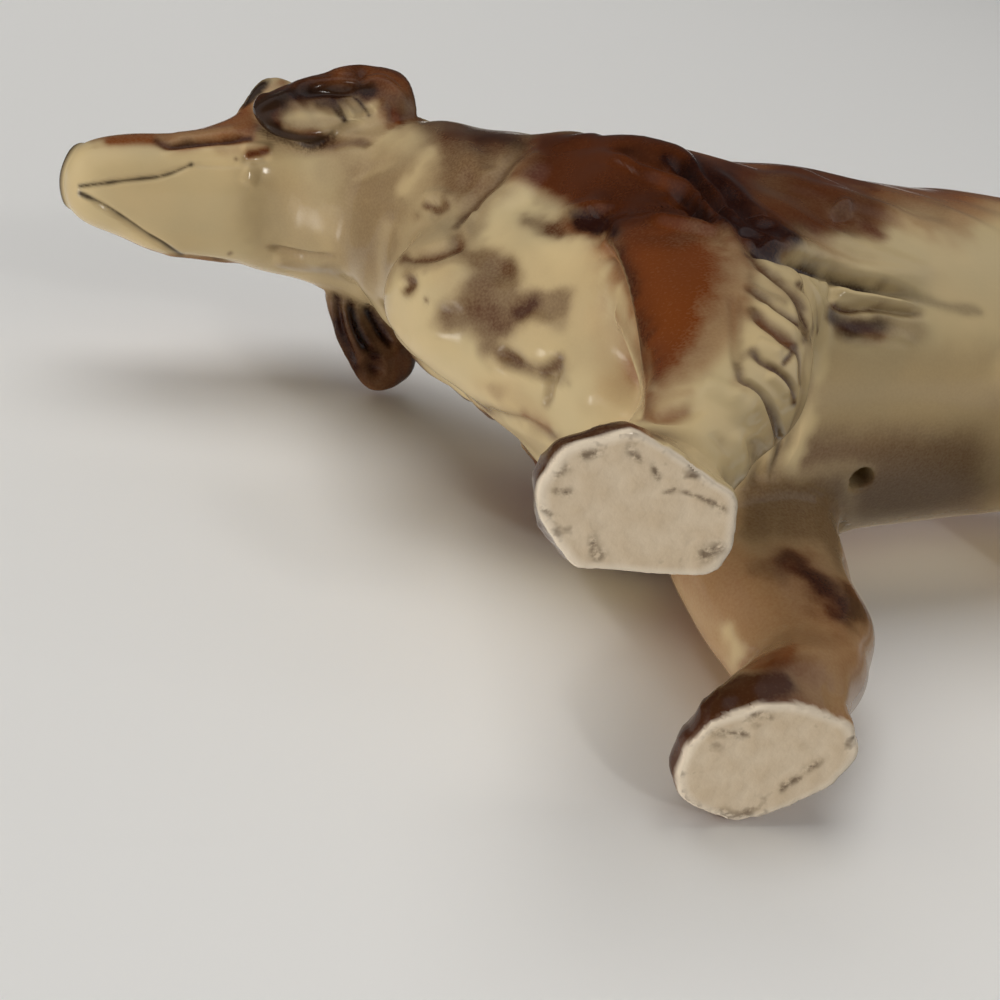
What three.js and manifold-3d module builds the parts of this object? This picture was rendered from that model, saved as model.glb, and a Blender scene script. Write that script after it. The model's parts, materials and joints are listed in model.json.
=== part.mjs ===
// Porcelain figurine of a long-coated collie at a walk.
// Nine slip-cast pieces, stuck together with slip and fired to one rigid body.
// Millimetres, +Z up, +X towards the nose, +Y to the dog's left. The soles stand on Z = 0.

import * as THREE from 'three';
import { LoftGeometry } from 'three/addons/geometries/LoftGeometry.js';
import { mergeVertices } from 'three/addons/utils/BufferGeometryUtils.js';
import Module from 'manifold-3d';

// Casting
const WALL = 3.5;
const SLIP_GAP = 0.3;
const VENT_DIAMETER = 3;
const VENT_X = 2.5;
const VENT_Y = -5.5;

// Torso: places along the body, heights of back and underline, and widths
const CHEST_X = 50.5;
const CHEST_ROUNDING = 4;
const CHEST_TAPER = 13;
const WITHERS_X = 22;
const LOIN_X = -30;
const RUMP_X = -60;
const RUMP_ROUNDING = 2;
const RUMP_TAPER = 10;
const WITHERS_HEIGHT = 90;
const GIRTH_HEIGHT = 83;
const LOIN_HEIGHT = 82.5;
const CROUP_HEIGHT = 81;
const BREAST_HEIGHT = 69;
const BREAST_DEPTH = 21;
const BREAST_TOP = 85;
const BRISKET_HEIGHT = 33;
const BRISKET_SLOPE = 12;
const TUCK_HEIGHT = 44;
const CHEST_WIDTH = 44;
const BREAST_WIDTH = 24;
const LOIN_WIDTH = 38;
const RUMP_WIDTH = 34;

// Neck, from inside the shoulders up to the joint with the head
const NECK_REACH = 23;
const NECK_RISE = 39;
const NECK_TILT = 56;
const NECK_WIDTH = 27.5;
const NECK_DEPTH = 24;
const NECK_ROOT_HEIGHT = 63.5;
const RUFF_WIDTH = 37;
const RUFF_DEPTH = 33;

// Head, forward of the joint
const HEAD_SWAY = -1.8;
const CROWN_RISE = 8.5;
const SKULL_LENGTH = 21;
const SKULL_WIDTH = 25;
const SKULL_DEPTH = 24;
const MUZZLE_LENGTH = 23;
const MUZZLE_FALL = 4.5;
const MUZZLE_WIDTH = 15.5;
const MUZZLE_DEPTH = 13.6;
const NOSE_WIDTH = 11.5;
const NOSE_DEPTH = 11.2;

// Ears
const EAR_LENGTH = 22;
const EAR_WIDTH = 14;
const EAR_THICKNESS = 6.5;
const EAR_RIM = 1.8;
const EAR_STAND_OFF = 1.4;
const EAR_SET_BACK = 1.5;
const EAR_RISE = 4.8;
const CUP_DEPTH = 1.6;
const CUP_LENGTH = 17;
const RIGHT_EAR_FORWARD = 3.5;
const RIGHT_EAR_LIFT = 1;
const RIGHT_EAR_BURIED = 9;

// Legs: where each foot stands, and the sizes that the legs share
const LEFT_FORE_X = 43;
const LEFT_FORE_Y = 11.2;
const RIGHT_FORE_X = 24.9;
const RIGHT_FORE_Y = -14.6;
const LEFT_HIND_X = -56;
const LEFT_HIND_Y = 11.5;
const RIGHT_HIND_X = -36;
const RIGHT_HIND_Y = -11.5;
const LEFT_FORE_TOE_OUT = 0;
const RIGHT_FORE_TOE_OUT = 17;
const HIND_TOE_OUT = 5;
const SOLE_LENGTH = 15.8;
const SOLE_WIDTH = 13;
const PAW_HEIGHT = 7;
const PAW_LEAN = 2.4;
const TOE_GROOVE = 0.9;
const TOE_PITCH = 34;
const INSTEP = 3.5;
const PASTERN_HEIGHT = 14;
const PASTERN_LENGTH = 14;
const PASTERN_WIDTH = 11.5;
const FOREARM_LENGTH = 18;
const FOREARM_WIDTH = 13;
const ELBOW_HEIGHT = 39;
const UPPER_ARM_LENGTH = 23;
const UPPER_ARM_WIDTH = 14;
const LEFT_SHOULDER_X = 21;
const RIGHT_SHOULDER_X = 12;
const LEFT_PASTERN_X = 33;
const RIGHT_PASTERN_X = 16;
const SHOULDER_SPREAD = 13.2;
const SHOULDER_HEIGHT = 61.5;
const HOCK_HEIGHT = 21;
const HOCK_SET_BACK = 5;
const STIFLE_HEIGHT = 46;
const THIGH_LENGTH = 27;
const THIGH_WIDTH = 13;
const GASKIN_LENGTH = 19;
const HIP_X = -42;
const HIP_SPREAD = 12;
const HIP_HEIGHT = 63.5;
const FEATHER_DEPTH = 1.2;
const FEATHER_PITCH = 8.4;

// Tail
const TAIL_DROP = 50;
const TAIL_SWEEP = 11;
const TAIL_THICKNESS = 13;
const TAIL_ROOT_DEPTH = 6;

// Fineness of the lofts
const STEPS_BETWEEN_STATIONS = 2;
const SECTION_POINTS = 28;
const CAVITY_POINTS = 16;
const EAR_POINTS = 18;
const MERGE_DISTANCE = 1e-4;

// Roundness of the sections: 2 is an ellipse, and more is squarer
const OVAL = 2.2;
const BARREL = 2.35;

const { degToRad, lerp, smoothstep } = THREE.MathUtils;

const wasm = await Module();
wasm.setup();

// A station of a loft: the middle of a section, the slope of the spine there in degrees, the section's
// half width, and its reach to the upper and the lower side of the spine.
function station(x, y, z, slope, width, rise, drop = rise, twist = 0) {
  return [x, y, z, slope, twist, width, rise, drop];
}

// A copy of a station, moved along its spine.
function slide([x, y, z, slope, ...rest], distance) {
  const tilt = degToRad(slope);
  return [x + Math.cos(tilt) * distance, y, z + Math.sin(tilt) * distance, slope, ...rest];
}

// The ring of points of one section. Angle 0 is the left side, and a quarter turn is the upper side.
// relief raises or sinks a point by a depth that depends on its angle and place.
function ring(row, grow, points, roundness, relief) {
  const [x, y, z, slope, twist, width, rise, drop] = row;
  const tilt = degToRad(slope);
  const along = new THREE.Vector3(Math.cos(tilt), 0, Math.sin(tilt));
  const side = new THREE.Vector3(0, 1, 0).applyAxisAngle(along, degToRad(twist));
  const up = new THREE.Vector3().crossVectors(along, side);
  const section = [];
  for (let i = 0; i < points; i++) {
    const angle = (i / points) * Math.PI * 2;
    const across = Math.sign(Math.cos(angle)) * Math.abs(Math.cos(angle)) ** (2 / roundness);
    const above = Math.sign(Math.sin(angle)) * Math.abs(Math.sin(angle)) ** (2 / roundness);
    const swell = grow + relief(angle, x, z);
    const point = new THREE.Vector3(x, y, z);
    point.addScaledVector(side, across * (width + swell));
    point.addScaledVector(up, above * ((above > 0 ? rise : drop) + swell));
    section.push(point);
  }
  return section;
}

const SMOOTH = () => 0;

// A closed body through the stations, with a cubic between them. grow swells it on every side.
function loft(stations, { grow = 0, points = SECTION_POINTS, roundness = OVAL, relief = SMOOTH } = {}) {
  const last = stations.length - 1;
  const rows = stations.map((row, index) => slide(row, grow * ((2 * index) / last - 1)));
  const keys = rows.map((row, index) => index);
  const size = rows[0].length;
  const cubic = new THREE.CubicInterpolant(keys, rows.flat(), size, new Array(size));
  const count = last * STEPS_BETWEEN_STATIONS;
  const sections = [];
  for (let step = 0; step <= count; step++) {
    const row = cubic.evaluate((step / count) * last);
    sections.push(ring(row, grow, points, roundness, relief));
  }
  return solid(new LoftGeometry(sections, { capStart: true, capEnd: true }));
}

// A manifold solid from a closed three.js geometry.
function solid(geometry) {
  const bare = new THREE.BufferGeometry().copy(geometry);
  bare.deleteAttribute('normal');
  bare.deleteAttribute('uv');
  const merged = mergeVertices(bare, MERGE_DISTANCE);
  const vertProperties = new Float32Array(merged.attributes.position.array);
  const triVerts = new Uint32Array(merged.index.array);
  return new wasm.Manifold(new wasm.Mesh({ numProp: 3, vertProperties, triVerts }));
}

// A three.js geometry from a manifold solid.
function geometryOf(body) {
  const { vertProperties, triVerts } = body.getMesh();
  const geometry = new THREE.BufferGeometry();
  geometry.setAttribute('position', new THREE.BufferAttribute(vertProperties, 3));
  geometry.setIndex(new THREE.BufferAttribute(triVerts, 1));
  geometry.computeVertexNormals();
  return geometry;
}

// Torso stations run from the rump to the breastbone.
function torsoStations() {
  const slice = (x, top, floor, width) =>
    station(x, 0, (top + floor) / 2, 0, width / 2, (top - floor) / 2);
  const bulge = (x, height, depth, width) => station(x, 0, height, 0, width / 2, depth / 2);
  const rumpHeight = (CROUP_HEIGHT + TUCK_HEIGHT) / 2;
  const rumpDepth = CROUP_HEIGHT - TUCK_HEIGHT;
  const girth = (LOIN_X + WITHERS_X) / 2;
  const shoulder = WITHERS_X + CHEST_ROUNDING;
  return [
    bulge(RUMP_X, rumpHeight, rumpDepth * 0.16, RUMP_WIDTH * 0.15),
    bulge(RUMP_X + RUMP_ROUNDING, rumpHeight, rumpDepth * 0.65, RUMP_WIDTH * 0.62),
    bulge(RUMP_X + RUMP_TAPER, rumpHeight, rumpDepth, RUMP_WIDTH),
    slice(LOIN_X, LOIN_HEIGHT, TUCK_HEIGHT, LOIN_WIDTH),
    slice(girth, GIRTH_HEIGHT, lerp(TUCK_HEIGHT, BRISKET_HEIGHT, 0.5), lerp(LOIN_WIDTH, CHEST_WIDTH, 0.5)),
    slice(
      lerp(girth, shoulder, 0.6),
      lerp(GIRTH_HEIGHT, WITHERS_HEIGHT, 0.38),
      lerp(TUCK_HEIGHT, BRISKET_HEIGHT, 0.82),
      CHEST_WIDTH * 0.98,
    ),
    slice(shoulder, WITHERS_HEIGHT, BRISKET_HEIGHT, CHEST_WIDTH),
    slice(CHEST_X - CHEST_TAPER, BREAST_TOP, BRISKET_HEIGHT + BRISKET_SLOPE, BREAST_WIDTH),
    bulge(CHEST_X - CHEST_ROUNDING, BREAST_HEIGHT, BREAST_DEPTH, BREAST_WIDTH * 0.66),
    bulge(CHEST_X - CHEST_ROUNDING / 4, BREAST_HEIGHT, BREAST_DEPTH * 0.62, BREAST_WIDTH * 0.44),
    bulge(CHEST_X, BREAST_HEIGHT, BREAST_DEPTH * 0.25, BREAST_WIDTH * 0.15),
  ];
}

// The neck leaves the shoulders here and meets the head at the joint.
const JOINT_X = WITHERS_X + NECK_REACH;
const JOINT_Z = NECK_ROOT_HEIGHT + NECK_RISE;
const NAPE_SHARE = 0.54;

// Neck stations run from inside the shoulders to the joint, and on past it where a cut has to go through.
function neckStations(reachPast) {
  const on = (share, width, depth) =>
    station(
      lerp(WITHERS_X, JOINT_X, share),
      HEAD_SWAY * share,
      lerp(NECK_ROOT_HEIGHT, JOINT_Z, share),
      NECK_TILT,
      width / 2,
      depth * NAPE_SHARE,
      depth * (1 - NAPE_SHARE),
    );
  const top = on(1, NECK_WIDTH, NECK_DEPTH);
  return [
    on(0, RUFF_WIDTH * 0.8, RUFF_DEPTH * 0.8),
    on(0.38, RUFF_WIDTH, RUFF_DEPTH),
    on(0.72, lerp(RUFF_WIDTH, NECK_WIDTH, 0.5), lerp(RUFF_DEPTH, NECK_DEPTH, 0.5)),
    top,
    ...(reachPast > 0 ? [slide(top, reachPast)] : []),
  ];
}

// Head stations run from the joint to the tip of the nose. lift is the share above the spine.
function headStations(startOffset) {
  const row = (x, z, slope, width, depth, lift = 0.5) =>
    station(x, HEAD_SWAY, z, slope, width / 2, depth * lift, depth * (1 - lift));
  const skull = (share) => JOINT_X + SKULL_LENGTH * share;
  const muzzle = (share) => skull(1) + MUZZLE_LENGTH * share;
  const crown = JOINT_Z + CROWN_RISE;
  const nose = crown - MUZZLE_FALL;
  const jaw = 0.43;
  return [
    slide(row(JOINT_X, JOINT_Z, NECK_TILT, NECK_WIDTH, NECK_DEPTH, NAPE_SHARE), startOffset),
    row(skull(0.28), lerp(JOINT_Z, crown, 0.7), NECK_TILT * 0.6, SKULL_WIDTH * 1.06, SKULL_DEPTH * 1.06),
    row(skull(0.55), crown, NECK_TILT * 0.15, SKULL_WIDTH, SKULL_DEPTH),
    row(skull(0.84), lerp(crown, nose, 0.1), -3, SKULL_WIDTH * 0.94, SKULL_DEPTH * 0.83),
    row(muzzle(0.05), lerp(crown, nose, 0.45), -6, SKULL_WIDTH * 0.78, SKULL_DEPTH * 0.7, jaw),
    row(muzzle(0.3), lerp(crown, nose, 0.75), -4, MUZZLE_WIDTH, MUZZLE_DEPTH, jaw),
    row(
      muzzle(0.6),
      lerp(crown, nose, 0.92),
      -3,
      lerp(MUZZLE_WIDTH, NOSE_WIDTH, 0.4),
      lerp(MUZZLE_DEPTH, NOSE_DEPTH, 0.3),
    ),
    row(muzzle(0.85), nose, -2, NOSE_WIDTH, NOSE_DEPTH),
    row(muzzle(0.96), nose, 0, NOSE_WIDTH * 0.7, NOSE_DEPTH * 0.68),
    row(muzzle(1), nose, 0, NOSE_WIDTH * 0.32, NOSE_DEPTH * 0.32),
  ];
}

// Torso and neck as one solid, swollen by grow.
function torsoSkin(grow) {
  const barrel = loft(torsoStations(), { grow, roundness: BARREL });
  return barrel.add(loft(neckStations(0), { grow }));
}

// The hollow inside the torso, which comes out at the top of the neck.
function torsoCavity() {
  const inside = { grow: -WALL, points: CAVITY_POINTS };
  const barrel = loft(torsoStations().slice(1, -2), { ...inside, roundness: BARREL });
  return barrel.add(loft(neckStations(WALL * 3), inside));
}

function ventDrill() {
  const length = BRISKET_HEIGHT + WALL * 3;
  const drill = new THREE.CylinderGeometry(VENT_DIAMETER / 2, VENT_DIAMETER / 2, length, SECTION_POINTS);
  drill.rotateX(Math.PI / 2);
  drill.translate(VENT_X, VENT_Y, length / 2);
  return solid(drill);
}

function torso() {
  return torsoSkin(0).subtract(torsoCavity()).subtract(ventDrill());
}

function headSkin(grow, startOffset) {
  return loft(headStations(startOffset), { grow });
}

// The head is hollow from the neck to the middle of the muzzle.
function head() {
  const hollow = headStations(-WALL * 3).slice(0, -3);
  return headSkin(0, SLIP_GAP).subtract(loft(hollow, { grow: -WALL, points: CAVITY_POINTS }));
}

// An ear along +X from its root, cupped on the +Y side, before it is set on the head.
function earFlap() {
  const halfThickness = EAR_THICKNESS / 2;
  const halfWidth = EAR_WIDTH / 2;
  const row = (share, thickness, upper, lower) =>
    station(EAR_LENGTH * share, 0, 0, 0, halfThickness * thickness, halfWidth * upper, halfWidth * lower);
  const flap = loft(
    [
      row(0, 0.55, 0.6, 0.5),
      row(0.07, 0.95, 0.95, 0.7),
      row(0.3, 1, 1.1, 0.95),
      row(0.6, 0.8, 0.85, 0.95),
      row(0.86, 0.6, 0.5, 0.85),
      row(0.97, 0.4, 0.18, 0.54),
      row(1, 0.16, 0, 0.3),
    ],
    { points: EAR_POINTS },
  );
  const cup = new THREE.SphereGeometry(1, EAR_POINTS, EAR_POINTS / 2);
  cup.scale(CUP_LENGTH / 2, CUP_DEPTH * 2, halfWidth - EAR_RIM);
  cup.translate(EAR_LENGTH / 2, EAR_THICKNESS * 0.45 + CUP_DEPTH, 0);
  return flap.subtract(solid(cup));
}

// An ear laid along one direction and across another, and cut to the skin that it is stuck on.
function ear(root, along, across) {
  const length = along.clone().normalize();
  const outward = new THREE.Vector3().crossVectors(across, length).normalize();
  const breadth = new THREE.Vector3().crossVectors(length, outward);
  const turn = new THREE.Matrix4().makeBasis(length, outward, breadth).setPosition(root);
  const flap = solid(geometryOf(earFlap()).applyMatrix4(turn));
  return flap.subtract(headSkin(SLIP_GAP, -WALL)).subtract(torsoSkin(SLIP_GAP));
}

const EAR_ROOT_X = JOINT_X - EAR_SET_BACK;
const EAR_ROOT_Z = JOINT_Z + EAR_RISE;
const EAR_SPREAD = SKULL_WIDTH / 2 + EAR_STAND_OFF;

// The left ear is folded forward along the head.
function leftEar() {
  const root = new THREE.Vector3(EAR_ROOT_X, HEAD_SWAY + EAR_SPREAD, EAR_ROOT_Z);
  return ear(root, new THREE.Vector3(1, -0.06, -0.06), new THREE.Vector3(0, 0.45, 0.89));
}

// The right ear stands out sideways, rooted inside the skin of the head.
function rightEar() {
  const root = new THREE.Vector3(
    EAR_ROOT_X + RIGHT_EAR_FORWARD,
    HEAD_SWAY - EAR_SPREAD + RIGHT_EAR_BURIED,
    EAR_ROOT_Z + RIGHT_EAR_LIFT,
  );
  return ear(root, new THREE.Vector3(-0.1, -0.93, -0.3), new THREE.Vector3(1, 0, -0.1));
}

// Toes across the front of a paw, above the sole.
function toes(angle, z) {
  const front = Math.max(0, Math.sin(angle)) ** 2;
  const height = Math.sin(Math.PI * THREE.MathUtils.clamp(z / PAW_HEIGHT, 0, 1));
  const fromFront = angle - Math.PI / 2;
  return -TOE_GROOVE * front * height * Math.cos((fromFront / degToRad(TOE_PITCH)) * Math.PI * 2) ** 2;
}

// Locks of long hair down the back of a leg, above the paw.
function feathers(angle, z) {
  const back = Math.max(0, -Math.sin(angle)) ** 2;
  const fade = smoothstep(z, PAW_HEIGHT, PASTERN_HEIGHT * 1.4);
  return FEATHER_DEPTH * back * fade * Math.sin((z / FEATHER_PITCH) * Math.PI * 2 + Math.cos(angle));
}

const legRelief = (angle, x, z) => toes(angle, z) + feathers(angle, z);

// A leg's stations run down to the sole, so that their upper side faces forward.
function legStation(x, y, z, length, width, twist = 0) {
  return station(x, y, z, -90, width / 2, length / 2, length / 2, twist);
}

// The paw that both kinds of leg end in. It leans inward above the sole.
function pawStations(x, y, toeOut) {
  const inward = -PAW_LEAN * Math.sign(y);
  const twist = toeOut * Math.sign(y);
  return [
    legStation(x - INSTEP, y + inward, PAW_HEIGHT, PASTERN_LENGTH, PASTERN_WIDTH, twist),
    legStation(x, y + inward * 0.4, PAW_HEIGHT * 0.5, SOLE_LENGTH * 1.02, SOLE_WIDTH * 1.02, twist),
    legStation(x, y, PAW_HEIGHT * 0.16, SOLE_LENGTH * 1.05, SOLE_WIDTH * 1.05, twist),
    legStation(x, y, 0, SOLE_LENGTH, SOLE_WIDTH, twist),
  ];
}

function cutLeg(rows) {
  return loft(rows, { relief: legRelief }).subtract(torsoSkin(SLIP_GAP));
}

function foreleg(shoulderX, pasternX, footX, footY, toeOut) {
  const spread = SHOULDER_SPREAD * Math.sign(footY);
  const knee = lerp(PASTERN_HEIGHT, ELBOW_HEIGHT, 0.4);
  return cutLeg([
    legStation(shoulderX, spread * 0.9, SHOULDER_HEIGHT, UPPER_ARM_LENGTH * 0.45, UPPER_ARM_WIDTH * 0.5),
    legStation(shoulderX, spread, lerp(ELBOW_HEIGHT, SHOULDER_HEIGHT, 0.64), UPPER_ARM_LENGTH, UPPER_ARM_WIDTH),
    legStation(lerp(shoulderX, footX, 0.1), spread, ELBOW_HEIGHT, UPPER_ARM_LENGTH, UPPER_ARM_WIDTH),
    legStation(lerp(shoulderX, footX, 0.28), lerp(spread, footY, 0.5), knee, FOREARM_LENGTH, FOREARM_WIDTH),
    legStation(pasternX, footY, PASTERN_HEIGHT, PASTERN_LENGTH, PASTERN_WIDTH),
    ...pawStations(footX, footY, toeOut),
  ]);
}

function leftForeleg() {
  return foreleg(LEFT_SHOULDER_X, LEFT_PASTERN_X, LEFT_FORE_X, LEFT_FORE_Y, LEFT_FORE_TOE_OUT);
}

function rightForeleg() {
  return foreleg(RIGHT_SHOULDER_X, RIGHT_PASTERN_X, RIGHT_FORE_X, RIGHT_FORE_Y, RIGHT_FORE_TOE_OUT);
}

function hindLeg(footX, footY) {
  const spread = HIP_SPREAD * Math.sign(footY);
  const hockX = footX - HOCK_SET_BACK;
  const gaskin = lerp(STIFLE_HEIGHT, HOCK_HEIGHT, 0.6);
  return cutLeg([
    legStation(HIP_X, spread * 0.9, HIP_HEIGHT, THIGH_LENGTH * 0.5, THIGH_WIDTH * 0.5),
    legStation(HIP_X, spread, lerp(STIFLE_HEIGHT, HIP_HEIGHT, 0.55), THIGH_LENGTH, THIGH_WIDTH),
    legStation(lerp(HIP_X, hockX, 0.25), spread, STIFLE_HEIGHT, THIGH_LENGTH, THIGH_WIDTH),
    legStation(lerp(HIP_X, hockX, 0.6), spread, gaskin, GASKIN_LENGTH, THIGH_WIDTH * 0.95),
    legStation(hockX, lerp(spread, footY, 0.7), HOCK_HEIGHT, PASTERN_LENGTH * 0.95, PASTERN_WIDTH * 0.9),
    ...pawStations(footX, footY, HIND_TOE_OUT),
  ]);
}

// The tail hangs behind the rump in a shallow curve, with its tip turned back.
function tail() {
  const rootX = RUMP_X + TAIL_ROOT_DEPTH;
  const rootZ = lerp(TUCK_HEIGHT, CROUP_HEIGHT, 0.73);
  const radius = TAIL_THICKNESS / 2;
  const row = (sweep, drop, slope, share) =>
    station(rootX - TAIL_SWEEP * sweep, 0, rootZ - TAIL_DROP * drop, slope, radius * share, radius * share);
  const rows = [
    row(-0.36, -0.02, -160, 0.6),
    row(0.36, 0.03, -150, 0.82),
    row(0.85, 0.22, -112, 1),
    row(1, 0.5, -92, 1.12),
    row(1.05, 0.78, -98, 1),
    row(1.35, 0.96, -118, 0.52),
    row(1.5, 1, -125, 0.15),
  ];
  return loft(rows, { points: EAR_POINTS }).subtract(torsoSkin(SLIP_GAP));
}

// Glazes
const CREAM_GLAZE = { color: 0xd8cba6, roughness: 0.15 };
const BROWN_GLAZE = { color: 0x8a4a22, roughness: 0.15 };
const DARK_GLAZE = { color: 0x3a2420, roughness: 0.15 };

function piece(name, body, glaze) {
  const material = new THREE.MeshStandardMaterial({ ...glaze, metalness: 0 });
  const mesh = new THREE.Mesh(geometryOf(body), material);
  mesh.name = name;
  return mesh;
}

const figurine = new THREE.Group();
figurine.add(
  piece('torso', torso(), CREAM_GLAZE),
  piece('head', head(), CREAM_GLAZE),
  piece('left_ear', leftEar(), DARK_GLAZE),
  piece('right_ear', rightEar(), BROWN_GLAZE),
  piece('left_foreleg', leftForeleg(), CREAM_GLAZE),
  piece('right_foreleg', rightForeleg(), CREAM_GLAZE),
  piece('left_hind_leg', hindLeg(LEFT_HIND_X, LEFT_HIND_Y), CREAM_GLAZE),
  piece('right_hind_leg', hindLeg(RIGHT_HIND_X, RIGHT_HIND_Y), CREAM_GLAZE),
  piece('tail', tail(), BROWN_GLAZE),
);

// The origin is on the table, under the middle of the figurine.
const middle = new THREE.Box3().setFromObject(figurine).getCenter(new THREE.Vector3());
figurine.position.set(-middle.x, -middle.y, 0);

export default figurine;
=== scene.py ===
import json

import bpy
import numpy as np
import openvdb
from mathutils import Matrix, Vector
from mathutils.bvhtree import BVHTree


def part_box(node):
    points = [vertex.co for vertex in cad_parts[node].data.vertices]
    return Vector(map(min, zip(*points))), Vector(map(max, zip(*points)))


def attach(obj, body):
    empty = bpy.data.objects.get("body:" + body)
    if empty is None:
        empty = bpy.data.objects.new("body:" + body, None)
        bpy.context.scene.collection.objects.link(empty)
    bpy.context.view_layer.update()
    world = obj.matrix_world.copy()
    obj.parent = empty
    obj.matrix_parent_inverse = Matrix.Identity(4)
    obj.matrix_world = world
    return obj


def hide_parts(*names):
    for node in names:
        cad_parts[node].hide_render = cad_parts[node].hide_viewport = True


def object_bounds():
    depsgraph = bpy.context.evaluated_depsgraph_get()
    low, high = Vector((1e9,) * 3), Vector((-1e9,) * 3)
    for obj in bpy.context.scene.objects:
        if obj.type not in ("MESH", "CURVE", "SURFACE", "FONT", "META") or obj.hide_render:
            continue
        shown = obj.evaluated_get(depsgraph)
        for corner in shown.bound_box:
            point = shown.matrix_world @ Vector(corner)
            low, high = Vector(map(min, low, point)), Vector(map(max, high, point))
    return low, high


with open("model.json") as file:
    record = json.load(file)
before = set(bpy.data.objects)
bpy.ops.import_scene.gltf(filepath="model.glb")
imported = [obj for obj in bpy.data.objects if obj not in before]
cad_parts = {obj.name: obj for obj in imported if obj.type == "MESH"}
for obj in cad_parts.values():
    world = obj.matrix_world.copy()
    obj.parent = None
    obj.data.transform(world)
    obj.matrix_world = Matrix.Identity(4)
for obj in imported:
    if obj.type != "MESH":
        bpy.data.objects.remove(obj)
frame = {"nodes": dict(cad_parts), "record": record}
cad_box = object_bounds()

# Shapes are worked out in millimetres in the part's frame, and the meshes are in metres.
MM = 0.001

# Camera of the photo, from the middle of the left forefoot's sole. Rows are right, down and forward.
PHOTO_SIZE = 1000
FOCAL_PIXELS = 1600
CAMERA_FROM_SOLE = np.array((42.44, 57.01, -103.57))
CAMERA_ROWS = np.array(
    (
        (-0.9665, 0.1538, -0.2057),
        (-0.0345, -0.8713, -0.4895),
        (-0.2545, -0.4660, 0.8474),
    )
)

# Grid of the glazed skin in millimetres, finer on the head and the left foreleg than on the body
BODY_VOXEL = 0.45
FINE_VOXEL = 0.27
FINE_MARGIN = 9.0
BAND = 6.0
MARGIN = 3.0

# Joints and seams between the nodes, in millimetres
SLIP_GAP = 0.3
SEAM_OVERLAP = 1.2
SEAM_DIP = 0.25
SEAM_REACH = 1.2
JOINT_BLEND = 1.2

# Each node's rounding, and how wide the slip fills the joint where it meets the rest
ROUNDING = {
    "torso": 2.4,
    "head": 1.3,
    "left_foreleg": 1.6,
    "right_foreleg": 1.6,
    "left_hind_leg": 1.8,
    "right_hind_leg": 1.8,
    "tail": 1.6,
    "left_ear": 0.5,
    "right_ear": 0.5,
}
FILLET = {
    "torso": 0.0,
    "head": 4.0,
    "left_foreleg": 5.0,
    "right_foreleg": 4.0,
    "left_hind_leg": 5.0,
    "right_hind_leg": 5.0,
    "tail": 4.0,
    "left_ear": 1.4,
    "right_ear": 2.0,
}
NODES = tuple(ROUNDING)
HEAD_NODES = ("head", "left_ear", "right_ear")
FINE_LEG = "left_foreleg"
BODY_STROKES = ("torso", "left_foreleg")
TRUNK = ("torso", "head", "left_foreleg")
LEGS = ("left_foreleg", "right_foreleg", "left_hind_leg", "right_hind_leg")

# The vent in the belly, and the heights between which a leg's rounding sets in
VENT_FROM_SOLE = np.array((-40.5, -16.7, 0.0))
VENT_RADIUS = 1.5
VENT_TOP = 43.0
SOLE_SHARP_BELOW = 2.0
SOLE_ROUND_ABOVE = 7.0


def mount_point(name):
    for mount in frame["record"]["mounts"]:
        if mount["name"] == name:
            return np.array(mount["pos_m"]) / MM
    raise KeyError(name)


LEFT_SOLE = mount_point("left_fore_sole")
CAMERA_AT = LEFT_SOLE + CAMERA_FROM_SOLE
VENT_AT = LEFT_SOLE + VENT_FROM_SOLE
MID_Y = (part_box("torso")[0][1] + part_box("torso")[1][1]) / 2 / MM


def smoothstep(x, low, high):
    t = np.clip((x - low) / (high - low), 0, 1)
    return t * t * (3 - 2 * t)


def node_triangles(name):
    """A node's vertices in millimetres and its triangles."""
    mesh = frame["nodes"][name].data
    points = np.empty(len(mesh.vertices) * 3, np.float32)
    mesh.vertices.foreach_get("co", points)
    mesh.calc_loop_triangles()
    triangles = np.empty(len(mesh.loop_triangles) * 3, np.int32)
    mesh.loop_triangles.foreach_get("vertices", triangles)
    return points.reshape(-1, 3) / MM, triangles.reshape(-1, 3)


def box_filter(field, width, axis):
    pads = [(0, 0)] * 3
    pads[axis] = (width // 2 + 1, width // 2)
    total = np.cumsum(np.pad(field, pads, mode="edge"), axis=axis, dtype=np.float32)
    ahead = np.moveaxis(total, axis, 0)[width:]
    behind = np.moveaxis(total, axis, 0)[:-width]
    return np.moveaxis((ahead - behind) / width, 0, axis)


def blurred(field, sigma):
    """A near Gaussian blur of sigma cells, as three box filters on each axis."""
    width = int(round(np.sqrt(4 * sigma * sigma + 1))) // 2 * 2 + 1
    for axis in range(3):
        for _ in range(3):
            field = box_filter(field, width, axis)
    return field


def smooth_union(a, b, width):
    """The union of two distance fields with a fillet of that width."""
    if width == 0:
        return np.minimum(a, b)
    blend = np.maximum(width - np.abs(a - b), 0) / width
    return np.minimum(a, b) - blend * blend * width / 4


def blocked_sides(solid):
    """How many of the six ways out of each cell run into solid cells."""
    count = np.zeros(solid.shape, np.uint8)
    for axis in range(3):
        count += np.logical_or.accumulate(solid, axis)
        count += np.flip(np.logical_or.accumulate(np.flip(solid, axis), axis), axis)
    return count


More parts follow.
